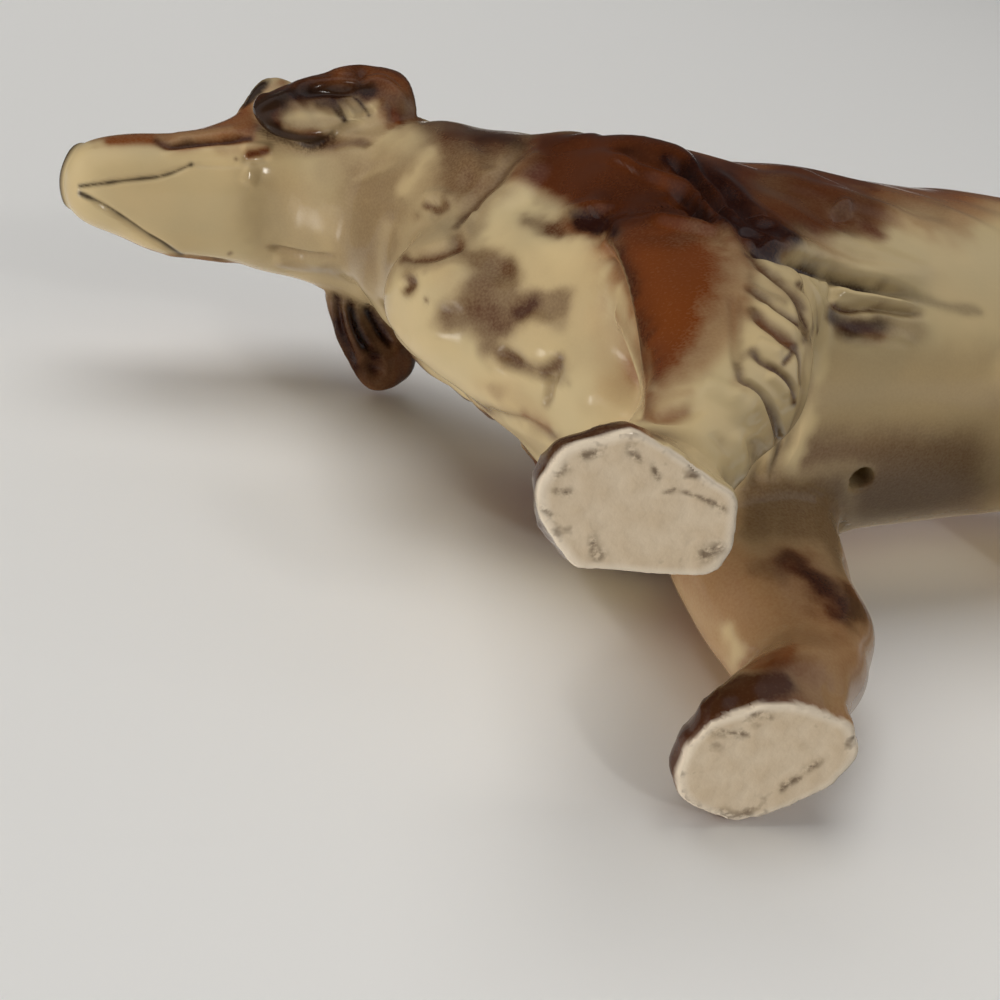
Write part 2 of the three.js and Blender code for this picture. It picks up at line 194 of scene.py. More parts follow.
class Grid:
    """A box of cells, and the distance fields in it."""

    def __init__(self, low, high, voxel):
        self.low = low
        self.voxel = voxel
        self.shape = tuple(int(n) for n in np.ceil((high - low) / voxel) + 1)
        self.transform = openvdb.createLinearTransform(voxelSize=voxel)

    def part(self, points):
        """The slices of the cells near some points."""
        first = np.floor((points.min(0) - BAND - self.low) / self.voxel).astype(int)
        last = np.ceil((points.max(0) + BAND - self.low) / self.voxel).astype(int) + 1
        first = np.clip(first, 0, np.array(self.shape) - 2)
        last = np.clip(last, first + 2, self.shape)
        return tuple(slice(a, b) for a, b in zip(first, last))

    def distance(self, points, triangles, part):
        corner = self.low + self.voxel * np.array([s.start for s in part])
        level = openvdb.FloatGrid.createLevelSetFromPolygons(
            (points - corner).astype(np.float32),
            triangles=triangles,
            transform=self.transform,
            halfWidth=BAND / self.voxel,
        )
        field = np.empty([s.stop - s.start for s in part], np.float32)
        level.copyToArray(field)
        return field

    def axis_values(self, axis):
        values = self.low[axis] + self.voxel * np.arange(self.shape[axis])
        return values.reshape([-1 if a == axis else 1 for a in range(3)])


HOLLOW_NODES = ("torso", "head")
ENCLOSED_SIDES = 5


def find_hollows(grid):
    """The cells of a grid that lie inside the hollow castings."""
    solid = np.zeros(grid.shape, bool)
    for name in HOLLOW_NODES:
        points, triangles = node_triangles(name)
        part = grid.part(points)
        solid[part] |= grid.distance(points, triangles, part) < SLIP_GAP
    return (blocked_sides(solid) >= ENCLOSED_SIDES) & ~solid


cad_low = np.array(cad_box[0]) / MM - MARGIN
cad_high = np.array(cad_box[1]) / MM + MARGIN
coarse = Grid(cad_low, cad_high, BODY_VOXEL)
coarse_hollows = find_hollows(coarse)


def hollows_in(grid):
    """The hollows, brought from the coarse grid to another one."""
    steps = []
    for axis in range(3):
        cells = np.rint((grid.axis_values(axis).ravel() - coarse.low[axis]) / coarse.voxel).astype(int)
        steps.append(np.clip(cells, 0, coarse.shape[axis] - 1))
    return coarse_hollows[np.ix_(*steps)]


def skin(low, high, voxel, favoured):
    """The filled and filleted skin of all nodes in a box.

    Gives its vertices, its quads, each quad's node and how much of each node is at each vertex.
    """
    grid = Grid(low, high, voxel)
    parts = {}
    fields = {}
    for name in NODES:
        points, triangles = node_triangles(name)
        parts[name] = grid.part(points)
        fields[name] = grid.distance(points, triangles, parts[name])
    hollow = hollows_in(grid)
    union = np.full(grid.shape, BAND, np.float32)
    nearest = np.full(grid.shape, BAND * 2, np.float32)
    owner = np.zeros(grid.shape, np.uint8)
    for index, name in enumerate(NODES):
        part = parts[name]
        field = fields[name]
        if name in HOLLOW_NODES:
            field[hollow[part]] = -BAND
        claim = field - (SEAM_OVERLAP if name in favoured else 0)
        closer = claim < nearest[part]
        owner[part][closer] = index
        nearest[part][closer] = claim[closer]
        rounded = blurred(field, ROUNDING[name] / voxel)
        if name in LEGS:
            height = grid.axis_values(2)[:, :, part[2]]
            field = field + (rounded - field) * smoothstep(height, SOLE_SHARP_BELOW, SOLE_ROUND_ABOVE)
        else:
            field = rounded
        union[part] = smooth_union(union[part], field, FILLET[name])
    radius = np.hypot(grid.axis_values(0) - VENT_AT[0], grid.axis_values(1) - VENT_AT[1])
    vent = np.maximum(radius - VENT_RADIUS, grid.axis_values(2) - VENT_TOP)
    union = np.maximum(union, -np.broadcast_to(vent, grid.shape)).astype(np.float32)
    level = openvdb.FloatGrid()
    level.background = BAND
    level.copyFromArray(union)
    vertices, quads = level.convertToQuads(0.0)
    cells = np.clip(np.rint(vertices[quads].mean(1)).astype(int), 0, np.array(grid.shape) - 1)
    owners = owner[cells[:, 0], cells[:, 1], cells[:, 2]]
    cells = np.clip(np.rint(vertices).astype(int), 0, np.array(grid.shape) - 1)
    gaps = np.full((len(vertices), len(NODES)), BAND)
    for index, name in enumerate(NODES):
        start = np.array([s.start for s in parts[name]])
        stop = np.array([s.stop for s in parts[name]])
        inside = np.all((cells >= start) & (cells < stop), axis=1)
        gaps[inside, index] = fields[name][tuple((cells[inside] - start).T)]
    shares = np.exp(-np.maximum(gaps, -1) / JOINT_BLEND)
    return vertices * voxel + low, quads, owners, shares / shares.sum(1, keepdims=True)


def vertex_normals(points, quads):
    corners = points[quads]
    faces = np.cross(corners[:, 2] - corners[:, 0], corners[:, 3] - corners[:, 1])
    normals = np.zeros_like(points)
    for corner in range(4):
        for axis in range(3):
            normals[:, axis] += np.bincount(quads[:, corner], faces[:, axis], len(points))
    return normals / np.maximum(np.linalg.norm(normals, axis=1, keepdims=True), 1e-9)


NOISE_CELLS = 64
NOISE_TABLE = np.random.default_rng(7).uniform(-1, 1, (NOISE_CELLS,) * 3)


def noise(points):
    """Smooth noise from -1 to 1 with one bump in about two units."""
    base = np.floor(points).astype(int)
    ease = points - base
    ease = ease * ease * (3 - 2 * ease)
    total = np.zeros(len(points))
    for corner in np.ndindex(2, 2, 2):
        share = np.prod(np.where(corner, ease, 1 - ease), axis=1)
        cell = (base + corner) % NOISE_CELLS
        total += share * NOISE_TABLE[cell[:, 0], cell[:, 1], cell[:, 2]]
    return total


def locks(points, flow, length, width, shift):
    """Noise drawn out along a flow, for locks of hair of that length and width."""
    along = np.array(flow) / np.linalg.norm(flow)
    side = np.cross(along, (0.0, 1.0, 0.0))
    side /= np.linalg.norm(side)
    rest = np.cross(along, side)
    wave = noise(points / 9.0 + shift)
    cells = np.stack(
        (points @ along / length + shift, points @ side / width + 0.7 * wave, points @ rest / (2 * width)), 1
    )
    return noise(cells)


def to_pixels(points):
    """Where points in the part's frame lie in the photo."""
    seen = (points - CAMERA_AT) @ CAMERA_ROWS.T
    return PHOTO_SIZE / 2 + FOCAL_PIXELS * seen[:, :2] / seen[:, 2:]


def curve(pixels):
    """A smooth line through some pixels."""
    points = np.array(pixels, float)
    if len(points) < 3:
        return points
    before = np.vstack((points[:1], points[:-1]))
    after = np.vstack((points[1:], points[-1:]))
    slopes = (after - before) / 2
    pieces = []
    for t in np.linspace(0, 1, 6, endpoint=False):
        a = (2 * t + 1) * (1 - t) ** 2
        b = t * (1 - t) ** 2
        c = t * t * (3 - 2 * t)
        d = t * t * (t - 1)
        pieces.append(a * points[:-1] + b * slopes[:-1] + c * points[1:] + d * slopes[1:])
    line = np.stack(pieces, 1).reshape(-1, 2)
    return np.vstack((line, points[-1:]))


# Paint masks. The two brown washes also hold painted shade in creases and on the belly, flank, neck and
# cheek, and less of the dark paint stands for painted highlights on the saddle.
MASKS = ("rust", "deep", "umber", "line", "edge", "bare", "dirt")


class View:
    """Where a coat's vertices lie in the photo, and how well the photo shows each."""

    def __init__(self, points, normals, tree, slack):
        rays = points - CAMERA_AT
        reach = np.linalg.norm(rays, axis=1)
        facing = -np.einsum("ij,ij->i", rays, normals) / reach
        self.weight = smoothstep(facing, 0.0, 0.15)
        self.pixels = to_pixels(points)
        origin = Vector(CAMERA_AT)
        for i in np.nonzero(self.weight)[0]:
            hit = tree.ray_cast(origin, Vector(rays[i] / reach[i]))
            if hit[3] is None or hit[3] < reach[i] - slack:
                self.weight[i] = 0
        self.weight[np.any(np.abs(self.pixels - PHOTO_SIZE / 2) > PHOTO_SIZE, axis=1)] = 0

    def within(self, line, reach):
        """The vertices in the box of a line."""
        low = line.min(0) - reach
        high = line.max(0) + reach
        return np.nonzero(np.all((self.pixels > low) & (self.pixels < high), axis=1) & (self.weight > 0))[0]

    def near(self, line, reach):
        """The vertices near a line, their distance from it, their side and their share along it."""
        picked = self.within(line, reach)
        spots = self.pixels[picked]
        best = np.full(len(picked), np.inf)
        side = np.zeros(len(picked))
        along = np.zeros(len(picked))
        steps = np.linalg.norm(np.diff(line, axis=0), axis=1)
        starts = np.concatenate(((0,), np.cumsum(steps)))
        for a, b, step, start in zip(line[:-1], line[1:], steps, starts):
            t = np.clip((spots - a) @ (b - a) / max(step * step, 1e-9), 0, 1)
            offset = spots - a - t[:, None] * (b - a)
            gap = np.linalg.norm(offset, axis=1)
            closer = gap < best
            best[closer] = gap[closer]
            turn = (b - a)[0] * offset[:, 1] - (b - a)[1] * offset[:, 0]
            side[closer] = np.sign(turn)[closer]
            along[closer] = ((start + t * step) / max(starts[-1], 1e-9))[closer]
        close = best < reach
        return picked[close], best[close], side[close], along[close]

    def inside(self, outline, reach):
        """The vertices in an outline or near it, and how deep inside each is."""
        picked = self.within(outline, reach)
        spots = self.pixels[picked]
        best = np.full(len(picked), np.inf)
        crossings = np.zeros(len(picked), int)
        for a, b in zip(outline, np.roll(outline, -1, axis=0)):
            t = np.clip((spots - a) @ (b - a) / ((b - a) @ (b - a)), 0, 1)
            best = np.minimum(best, np.linalg.norm(spots - a - t[:, None] * (b - a), axis=1))
            if a[1] != b[1]:
                across = a[0] + (spots[:, 1] - a[1]) / (b[1] - a[1]) * (b[0] - a[0])
                crossings += ((a[1] > spots[:, 1]) != (b[1] > spots[:, 1])) & (spots[:, 0] < across)
        return picked, np.where(crossings % 2 == 1, best, -best)


def softened(values, quads, rounds):
    """Values of vertices, averaged with those of their neighbours."""
    corners = quads.ravel()
    counts = np.maximum(np.bincount(corners, minlength=len(values)), 1)
    for _ in range(rounds):
        faces = np.repeat(values[quads].mean(1), 4)
        values = np.bincount(corners, faces, len(values)) / counts
    return values


VIEW_SOFTENING = 5
VIEW_SLACK = 0.8
MIRRORED_SLACK = 2.5


class Coat:
    """A skin with the height and the paint that the strokes give to each vertex."""

    def __init__(self, points, quads, owners, shares, tree):
        self.shares = shares
        self.points = points
        self.quads = quads
        self.owners = owners
        self.normals = vertex_normals(points, quads)
        self.node = np.zeros(len(points), np.uint8)
        self.node[quads.ravel()] = np.repeat(owners, 4)
        self.height = np.zeros(len(points))
        self.warp = 0.6 * noise(points / 2.6) + 0.4 * noise(points / 1.2 + 30)
        self.mask = {name: np.zeros(len(points)) for name in MASKS}
        mirrored = points * (1, -1, 1)
        middle = np.where(self.is_node(*HEAD_NODES), HEAD_MID_Y, MID_Y)
        mirrored[:, 1] += 2 * middle
        self.views = (
            View(points, self.normals, tree, VIEW_SLACK),
            View(mirrored, self.normals * (1, -1, 1), tree, MIRRORED_SLACK),
        )
        for view in self.views:
            view.weight = softened(view.weight, quads, VIEW_SOFTENING)
        self.views[1].weight[~self.is_node("torso", "head")] = 0
        self.views[1].weight *= 1 - self.views[0].weight

    def is_node(self, *names):
        return np.isin(self.node, [NODES.index(name) for name in names])

    def soft_node(self, *names):
        """1 on some nodes and 0 on the rest, with a soft change at their joints."""
        return self.shares[:, [NODES.index(name) for name in names]].sum(1)

    def near(self, pixels, reach, nodes=None):
        line = curve(pixels)
        for view in self.views:
            picked, gap, side, along = view.near(line, reach)
            yield picked, gap, side, along, self.share(view, picked, nodes)

    def share(self, view, picked, nodes):
        """How much of a stroke each vertex takes, on some nodes or else on the torso and left foreleg."""
        chosen = [NODES.index(name) for name in nodes or BODY_STROKES]
        return view.weight[picked] * smoothstep(self.shares[np.ix_(picked, chosen)].sum(1), 0.15, 0.6)

    def ridge(self, pixels, width, height, nodes=None):
        """Raises a tapering line of hair, or cuts a groove where the height is below 0."""
        for picked, gap, _, along, weight in self.near(pixels, width, nodes):
            profile = (1 - (gap / width) ** 2) ** 2
            taper = smoothstep(along, -0.02, 0.2) * smoothstep(1 - along, -0.02, 0.25)
            self.height[picked] += height * profile * taper * weight

    def ridges(self, rows, nodes=None):
        """Ridges or grooves, each a line, its width and its height."""
        for pixels, width, height in rows:
            self.ridge(pixels, width, height, nodes)

    def lump(self, pixel, radius, height, nodes=None):
        """Raises or sinks a round spot."""
        for picked, gap, _, _, weight in self.near((pixel, pixel), radius, nodes):
            self.height[picked] += height * (1 - (gap / radius) ** 2) ** 2 * weight

    def lumps(self, rows, nodes=None):
        """Round spots, each a place, its radius and its height."""
        for pixel, radius, height in rows:
            self.lump(pixel, radius, height, nodes)

    def step(self, pixels, raised, sunk, reach_raised, reach_sunk, blend):
        """A step along a line: the side on its right, going along it, stands proud of the other."""
        for picked, gap, side, along, weight in self.near(pixels, max(reach_raised, reach_sunk)):
            ends = smoothstep(along, -0.01, 0.25) * smoothstep(1 - along, -0.01, 0.06)
            proud = smoothstep(side * gap, -blend, blend)
            up = raised * np.clip(1 - gap / reach_raised, 0, 1) ** 1.5
            down = sunk * np.clip(1 - gap / reach_sunk, 0, 1) ** 1.5
            self.height[picked] += (up * proud - down * (1 - proud)) * ends * weight

    def mix(self, mask, picked, value, cover):
        old = self.mask[mask][picked]
        self.mask[mask][picked] = old + (value - old) * cover

    def paint(self, mask, pixels, width, value, opacity=1.0, nodes=None):
        """Airbrushes a soft line of paint, or takes paint away where the value is lower."""
        points = (pixels, pixels) if np.ndim(pixels) == 1 else pixels
        for picked, gap, _, _, weight in self.near(points, width * 1.6, nodes):
            ragged = gap + 0.55 * width * self.warp[picked]
            cover = opacity * np.exp(-((np.maximum(ragged, 0) / (width * 0.75)) ** 2)) * weight
            self.mix(mask, picked, value, cover)

    def paints(self, mask, rows, nodes=None):
        """Strokes of one paint, each a line or spot, its width, value and opacity."""
        for pixels, width, value, opacity in rows:
            self.paint(mask, pixels, width, value, opacity, nodes)

    def fill(self, mask, outline, value, soft, opacity=1.0, nodes=None):
        """Airbrushes an area with a soft edge."""
        for view in self.views:
            picked, depth = view.inside(np.array(outline, float), soft)
            ragged = depth + min(soft, 8) * self.warp[picked]
            cover = opacity * smoothstep(ragged, -soft, soft) * self.share(view, picked, nodes)
            self.mix(mask, picked, value, cover)

    def clean(self, outline, soft, opacity=1.0, nodes=None):
        """Takes all airbrushing away from an area."""
        for mask in ("rust", "deep", "umber"):
            self.fill(mask, outline, 0.0, soft, opacity, nodes)


HEAD_MID_Y = (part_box("head")[0][1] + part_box("head")[1][1]) / 2 / MM

# Places on the dog are counted from here, along the part's axes.
DESIGN_ORIGIN = LEFT_SOLE - np.array((43.0, 11.2, 0.0))

# Small bulges and hollows of the form: place, radius, height and the plane that mirrors it, if any
FORM = (
    ((41.0, 12.3, 99.0), 4.0, 0.5, MID_Y),
    ((31.5, 15.8, 87.0), 2.5, -0.6, MID_Y),
    ((27.6, 16.8, 82.5), 4.0, 1.1, MID_Y),
    ((17.5, 20.8, 70.0), 5.0, -1.3, MID_Y),
    ((12.5, 20.3, 69.0), 4.5, -0.6, MID_Y),
    ((62.0, 9.6, 113.8), 3.2, 2.6, None),
    ((62.0, -13.2, 113.8), 3.2, 1.4, None),
    ((63.0, 12.9, 108.0), 2.6, -0.5, None),
    ((58.0, 14.0, 109.0), 3.5, -0.3, None),
    ((50.0, 15.5, 109.5), 4.5, -0.2, None),
    ((76.0, -8.4, 104.0), 4.5, 1.6, None),
    ((70.5, -10.0, 104.0), 4.0, 0.7, None),
    ((56.5, -11.0, 101.0), 4.0, -1.0, None),
    ((51.5, -12.5, 98.0), 4.5, -2.0, None),
    ((48.5, -11.5, 89.0), 5.0, -1.4, None),
    ((50.0, -1.5, 72.0), 6.0, 1.6, None),
    ((58.5, 9.0, 113.6), 3.5, 1.2, None),
)

# Small moves of the form: place, radius and move
MOVES = (
    ((59.5, 14.0, 108.0), 3.0, (0.0, -0.65, -0.35)),
    ((55.0, 15.2, 109.4), 3.0, (0.0, -0.45, -0.25)),
    ((47.8, 16.2, 109.4), 3.0, (0.0, -0.55, -0.3)),
    ((50.8, 16.0, 109.9), 1.2, (0.0, -0.5, -0.3)),
)


def formed(points, quads, owners, shares):
    """A skin with the bulges and hollows of the form."""
    normals = vertex_normals(points, quads)
    height = np.zeros(len(points))
    for place, radius, amount, mirror in FORM:
        centre = DESIGN_ORIGIN + place
        centres = [centre]
        if mirror is not None:
            centres.append(centre * (1, -1, 1) + (0, 2 * mirror, 0))
        for centre in centres:
            gap = np.linalg.norm(points - centre, axis=1)
            height += amount * np.exp(-((gap / radius) ** 2))
    moved = points + normals * height[:, None]
    for place, radius, move in MOVES:
        gap = np.linalg.norm(points - DESIGN_ORIGIN - place, axis=1)
        moved += np.exp(-((gap / radius) ** 2))[:, None] * move
    return moved, quads, owners, shares


def fine_skin(nodes):
    """A finer skin for some nodes, in a box around them."""
    boxes = np.array([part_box(name) for name in nodes]) / MM
    low = boxes[:, 0].min(0) - FINE_MARGIN
    high = boxes[:, 1].max(0) + FINE_MARGIN
    return formed(*skin(low, high, FINE_VOXEL, nodes))


whole = formed(*skin(cad_low, cad_high, BODY_VOXEL, ()))
tree = BVHTree.FromPolygons(whole[0].tolist(), whole[1].tolist())
BODY_NODES = tuple(name for name in NODES if name not in HEAD_NODES and name != FINE_LEG)
body = Coat(*whole, tree)
leg = Coat(*fine_skin((FINE_LEG,)), tree)
head = Coat(*fine_skin(HEAD_NODES), tree)
COATS = (body, leg, head)

# Height of the back and of the underline along the body
BACK = ((-60, 74), (-50, 81), (-30, 82.5), (-4, 83), (14, 86), (26, 90), (38, 92), (50, 96))
UNDERLINE = ((-60, 56), (-50, 44), (-30, 44), (-4, 38.5), (14, 35), (26, 33), (38, 45), (50, 60))


def along_body(x, rows):
    return np.interp(x, [row[0] for row in rows], [row[1] for row in rows])


def ground_body(coat):
    """The airbrushing and the hair of the body, on every side."""
    place = coat.points - DESIGN_ORIGIN
    x, _, z = place.T
    normal = coat.normals
    broad = noise(place / 11.0)
    fine = noise(place / 4.5 + 20)
    mask = coat.mask

    torso = coat.soft_node("torso")
    share = (z - along_body(x, UNDERLINE)) / (along_body(x, BACK) - along_body(x, UNDERLINE))
    behind = 1 - smoothstep(x, 18, 34)
    saddle = smoothstep(share + 0.1 * broad + 0.05 * fine, 0.36, 0.54) * behind
    mask["rust"] += torso * 0.9 * saddle
    mask["deep"] += torso * 0.7 * smoothstep(share + 0.12 * broad, 0.5, 0.8) * behind
    mask["umber"] += torso * 0.85 * nape(place, normal, broad)
    hair = locks(place, (-0.85, 0.0, -0.5), 13.0, 3.0, 3.0)
    coat.height += torso * 0.4 * hair * smoothstep(share, 0.2, 0.5) * behind
    mane = locks(place, (-0.3, 0.0, -0.95), 12.0, 5.0, 9.0)
    coat.height += torso * 0.3 * mane * (1 - behind)

    hind = coat.soft_node("left_hind_leg", "right_hind_leg")
    mask["rust"] += hind * 0.9 * smoothstep(z + 5 * broad, 32, 54)
    mask["umber"] += hind * 0.3 * smoothstep(z + 4 * broad, 10, 34)
    feather = locks(place, (-0.25, 0.0, -0.95), 12.0, 3.2, 5.0)
    rear = smoothstep(-normal[:, 0], 0.0, 0.6) * smoothstep(z, 12, 24)
    coat.height += hind * (0.6 * rear + 0.15) * feather * smoothstep(z, 9, 16)

    left = coat.soft_node("left_foreleg")
    right = coat.soft_node("right_foreleg")
    mask["rust"] += left * 0.95 * smoothstep(z + 3 * broad, 30, 44) * smoothstep(x, 24, 30)
    mask["rust"] += right * (0.6 + 0.4 * smoothstep(z + 4 * broad, 26, 44))
    mask["umber"] += right * 0.15
    mask["deep"] += right * 0.65 * smoothstep(z + 4 * broad, 30, 46)
    rear = smoothstep(-normal[:, 0], 0.0, 0.6) * smoothstep(z, 14, 26)
    coat.height += (left + right) * 0.4 * rear * feather

    paws = (left + right + hind) * (1 - smoothstep(z, 3.5, 8.0))
    front = smoothstep(normal[:, 0], -0.7, 0.2)
    mask["umber"] = np.maximum(mask["umber"], paws * (0.1 + 0.85 * front))
    mask["deep"] = np.maximum(mask["deep"], paws * 0.5 * front)

    tail = coat.soft_node("tail")
    brush = locks(place, (-0.2, 0.0, -1.0), 15.0, 2.8, 1.0)
    coat.height += tail * 0.7 * brush * smoothstep(88 - z, 0, 14)
    mask["rust"] += tail * 0.95 * smoothstep(z + 6 * broad, 22, 38)
    back_side = smoothstep(-normal[:, 0] + 0.4 * broad, 0.1, 0.8)
    mask["deep"] += tail * 0.6 * back_side * smoothstep(z, 34, 48)
    mask["umber"] += tail * 0.3


def nape(place, normal, broad):
    """The darker top of the neck."""
    up = smoothstep(normal[:, 2] + 0.25 * broad, -0.15, 0.45)
    return up * smoothstep(place[:, 0], 24, 36) * (1 - smoothstep(place[:, 0], 52, 60))


def ground_head(coat):
    """The airbrushing and the features of the head, on every side."""
    place = coat.points - DESIGN_ORIGIN
    x, _, z = place.T
    normal = coat.normals
    broad = noise(place / 11.0)
    mask = coat.mask
    skull = coat.soft_node("head")
    top = smoothstep(normal[:, 2] + 0.15 * broad, 0.15, 0.6)
    crown = top * smoothstep(x + 2 * broad, 46, 58)
    mask["rust"] += skull * 0.9 * crown * (1 - smoothstep(x, 82, 88))
    mask["deep"] += skull * 0.35 * crown * (1 - smoothstep(x, 60, 72))
    mask["umber"] += skull * 0.85 * nape(place, normal, broad)
    left_ear = coat.soft_node("left_ear")
    mask["deep"] += left_ear * 0.75
    mask["rust"] += left_ear * 0.95
    right_ear = coat.soft_node("right_ear")
    mask["rust"] += right_ear * 0.4
    mask["umber"] += right_ear * 0.8
    mask["deep"] += right_ear * 0.5
    streaks = locks(place, (-0.2, -0.95, -0.3), 9.0, 1.6, 2.0)
    coat.height += (left_ear + right_ear) * 0.15 * streaks


EYE_AT = (64.2, 112.6)
EYE_SIZE = (1.5, 0.95)
EYE_TILT = 0.35


def eyes(coat):
    """An almond with a lid on each side of the head."""
    place = coat.points - DESIGN_ORIGIN
    along = place[:, 0] - EYE_AT[0]
    up = place[:, 2] - EYE_AT[1]
    across = (along * np.cos(EYE_TILT) - up * np.sin(EYE_TILT)) / EYE_SIZE[0]
    rise = (along * np.sin(EYE_TILT) + up * np.cos(EYE_TILT)) / EYE_SIZE[1]
    reach = np.hypot(across, rise)
    on_side = coat.is_node("head") & (np.abs(coat.normals[:, 1]) > 0.25)
    coat.height += on_side * 0.45 * np.clip(1 - reach**2, 0, 1)
    lid = np.exp(-(((reach - 1.25) / 0.3) ** 2))
    coat.height += on_side * lid * np.where(rise > 0, 0.3, 0.1)
    coat.mix("line", slice(None), 1.0, on_side * (1 - smoothstep(reach, 0.85, 1.1)))
    coat.mix("deep", slice(None), 0.8, on_side * 0.8 * (1 - smoothstep(reach, 1.1, 1.6)))


NOSE_BACK = 86.8
NOSE_LOW = 105.2
NOSE_SOFT = 0.9
NOSTRIL_AT = (88.6, 1.9, 107.4)


def nose(coat):
    """The dark pad at the tip of the muzzle, with two nostrils."""
    place = coat.points - DESIGN_ORIGIN
    x, y, z = place.T
    ahead = smoothstep(x + 0.5 * (z - NOSTRIL_AT[2]), NOSE_BACK, NOSE_BACK + NOSE_SOFT)
    pad = ahead * smoothstep(z, NOSE_LOW, NOSE_LOW + NOSE_SOFT)
    coat.mix("line", slice(None), 1.0, pad)
    coat.height += 0.5 * pad
    aside = np.abs(y - (HEAD_MID_Y - DESIGN_ORIGIN[1])) - NOSTRIL_AT[1]
    gap = np.sqrt((x - NOSTRIL_AT[0]) ** 2 + aside**2 + ((z - NOSTRIL_AT[2]) * 1.4) ** 2)
    coat.height -= 0.9 * np.exp(-((gap / 0.9) ** 2))


# Strokes of hair and paint, on lines, spots and outlines in the photo's pixels, with heights in millimetres.
# Some of the paint is painted shade and painted highlights, marked where it stands.
CHEST_EDGE = ((606, 240), (616, 257), (625, 282), (631, 305), (637, 335), (640, 362), (642, 395), (642, 426))
CHEST_LUMPS = (
    ((451, 284), 36, 0.7),
    ((538, 342), 34, 0.6),
    ((482, 376), 36, 0.5),
    ((522, 240), 40, 0.4),
    ((432, 334), 34, 0.5),
    ((505, 405), 30, 0.5),
    ((594, 396), 44, 0.7),
    ((580, 262), 34, 0.3),
    ((600, 205), 18, 0.4),
    ((502, 269), 22, -0.5),
    ((488, 310), 34, -0.35),
    ((527, 307), 22, -0.5),
    ((550, 310), 20, -0.3),
    ((449, 316), 20, -0.25),
    ((511, 357), 18, -0.35),
    ((552, 372), 16, -0.35),
    ((470, 184), 18, -0.5),
    ((436, 209), 14, -0.5),
    ((410, 284), 12, -0.5),
    ((548, 228), 20, -0.4),
    ((593, 224), 22, -0.6),
    ((458, 242), 12, -0.6),
)
CHEST_RIDGES = (
    (((538, 136), (513, 158), (498, 179), (479, 196), (457, 226)), 13, -0.8),
    (((552, 146), (528, 170), (514, 190), (494, 210), (476, 232)), 22, 0.7),
    (((400, 258), (430, 256), (448, 250), (462, 238)), 10, -0.6),
    (((400, 242), (430, 240), (452, 228)), 16, 0.25),
    (((462, 236), (470, 224), (478, 210)), 7, 0.5),
    (((353, 178), (375, 170), (397, 160)), 10, -0.3),
    (((400, 205), (386, 240), (378, 270), (384, 300)), 16, -0.5),
    (((430, 130), (460, 146), (470, 170)), 18, 0.4),
    (((470, 136), (490, 150), (486, 172)), 14, -0.4),
    (((420, 198), (440, 195), (458, 203)), 9, 0.4),
    (((499, 353), (518, 365), (536, 372), (552, 374), (561, 358)), 9, -0.4),
    (((552, 374), (550, 388), (547, 406)), 8, -0.5),
    (((480, 410), (510, 420), (540, 432), (558, 439)), 10, -0.6),
)


def sculpt_chest(coat):
    coat.lumps(CHEST_LUMPS, TRUNK)
    coat.ridges(CHEST_RIDGES, TRUNK)
    coat.step(tuple(reversed(CHEST_EDGE)), 0.5, 1.4, 60, 44, 6)


SADDLE_RIDGES = (
    (((545, 144), (602, 142), (655, 148), (685, 160), (701, 180), (719, 200), (733, 214), (757, 227)),
     9, 0.9),
    (((590, 152), (621, 161), (644, 173), (664, 179), (690, 191), (701, 205), (712, 220), (735, 234),
     (761, 242)), 9, 1.0),
    (((640, 214), (676, 223), (699, 228), (717, 232), (731, 242), (750, 254)), 9, 0.9),
    (((664, 160), (686, 172), (698, 190), (712, 208), (730, 222)), 7, -0.8),
    (((668, 192), (688, 204), (700, 218), (722, 230)), 8, -0.8),
    (((612, 152), (645, 162), (672, 172)), 7, -0.5),
    (((696, 166), (716, 184), (736, 206), (762, 226), (790, 246)), 9, -0.7),
    (((704, 168), (730, 188), (756, 212), (790, 238), (815, 254)), 12, 0.6),
    (((735, 234), (752, 236), (766, 246)), 7, -0.8),
    (((600, 214), (640, 208), (676, 214)), 10, -0.4),
    (((560, 215), (585, 206), (606, 210)), 9, 0.5),
    (((745, 172), (790, 190), (830, 216), (870, 236)), 14, -0.4),
    (((760, 172), (810, 182), (860, 200), (920, 220)), 14, 0.5),
    (((800, 172), (850, 184), (900, 202), (960, 220)), 12, -0.4),
    (((834, 210), (842, 205), (852, 209)), 6, 0.7),
    (((834, 218), (843, 216), (853, 220)), 5, -0.5),
    (((820, 232), (850, 246), (890, 262), (940, 280)), 16, 0.5),
)
SADDLE_EDGE = (
    (735, 246), (752, 250), (770, 254), (795, 261), (816, 270), (830, 275), (852, 284), (880, 289),
    (930, 302),
)


def sculpt_saddle(coat):
    coat.ridges(SADDLE_RIDGES)
    coat.ridge(SADDLE_EDGE, 9, -1.1)
    coat.ridge(tuple((px + 4, py - 13) for px, py in SADDLE_EDGE), 14, 0.8)


# Grooves between the leg's locks of hair: line, width, depth, width of the paint in it and its strength
LEG_GROOVES = (
    (((747, 255), (761, 268), (775, 280), (788, 291), (798, 306), (804, 322), (805, 341)),
     6, -0.35, 5.5, 1.0),
    (((748, 290), (762, 297), (775, 309), (787, 317), (797, 324), (803, 333)), 6, -0.35, 5.5, 1.0),
    (((752, 311), (762, 322), (775, 332), (785, 341), (794, 346)), 7, -0.4, 7.0, 0.9),
    (((752, 352), (762, 361), (775, 369), (785, 378), (793, 390), (794, 403)), 6, -0.35, 5.5, 0.95),
    (((798, 286), (808, 296), (814, 311), (816, 332)), 5, -0.25, 4.5, 0.85),
    (((783, 364), (790, 356), (794, 350)), 4, -0.2, 4.0, 0.9),
    (((787, 346), (797, 352), (801, 365), (801, 384)), 4, -0.2, 4.0, 0.85),
    (((738, 362), (742, 379), (751, 385), (761, 393), (769, 404), (775, 419), (779, 436), (779, 453),
     (768, 482)), 6, -0.45, 5.5, 0.85),
)
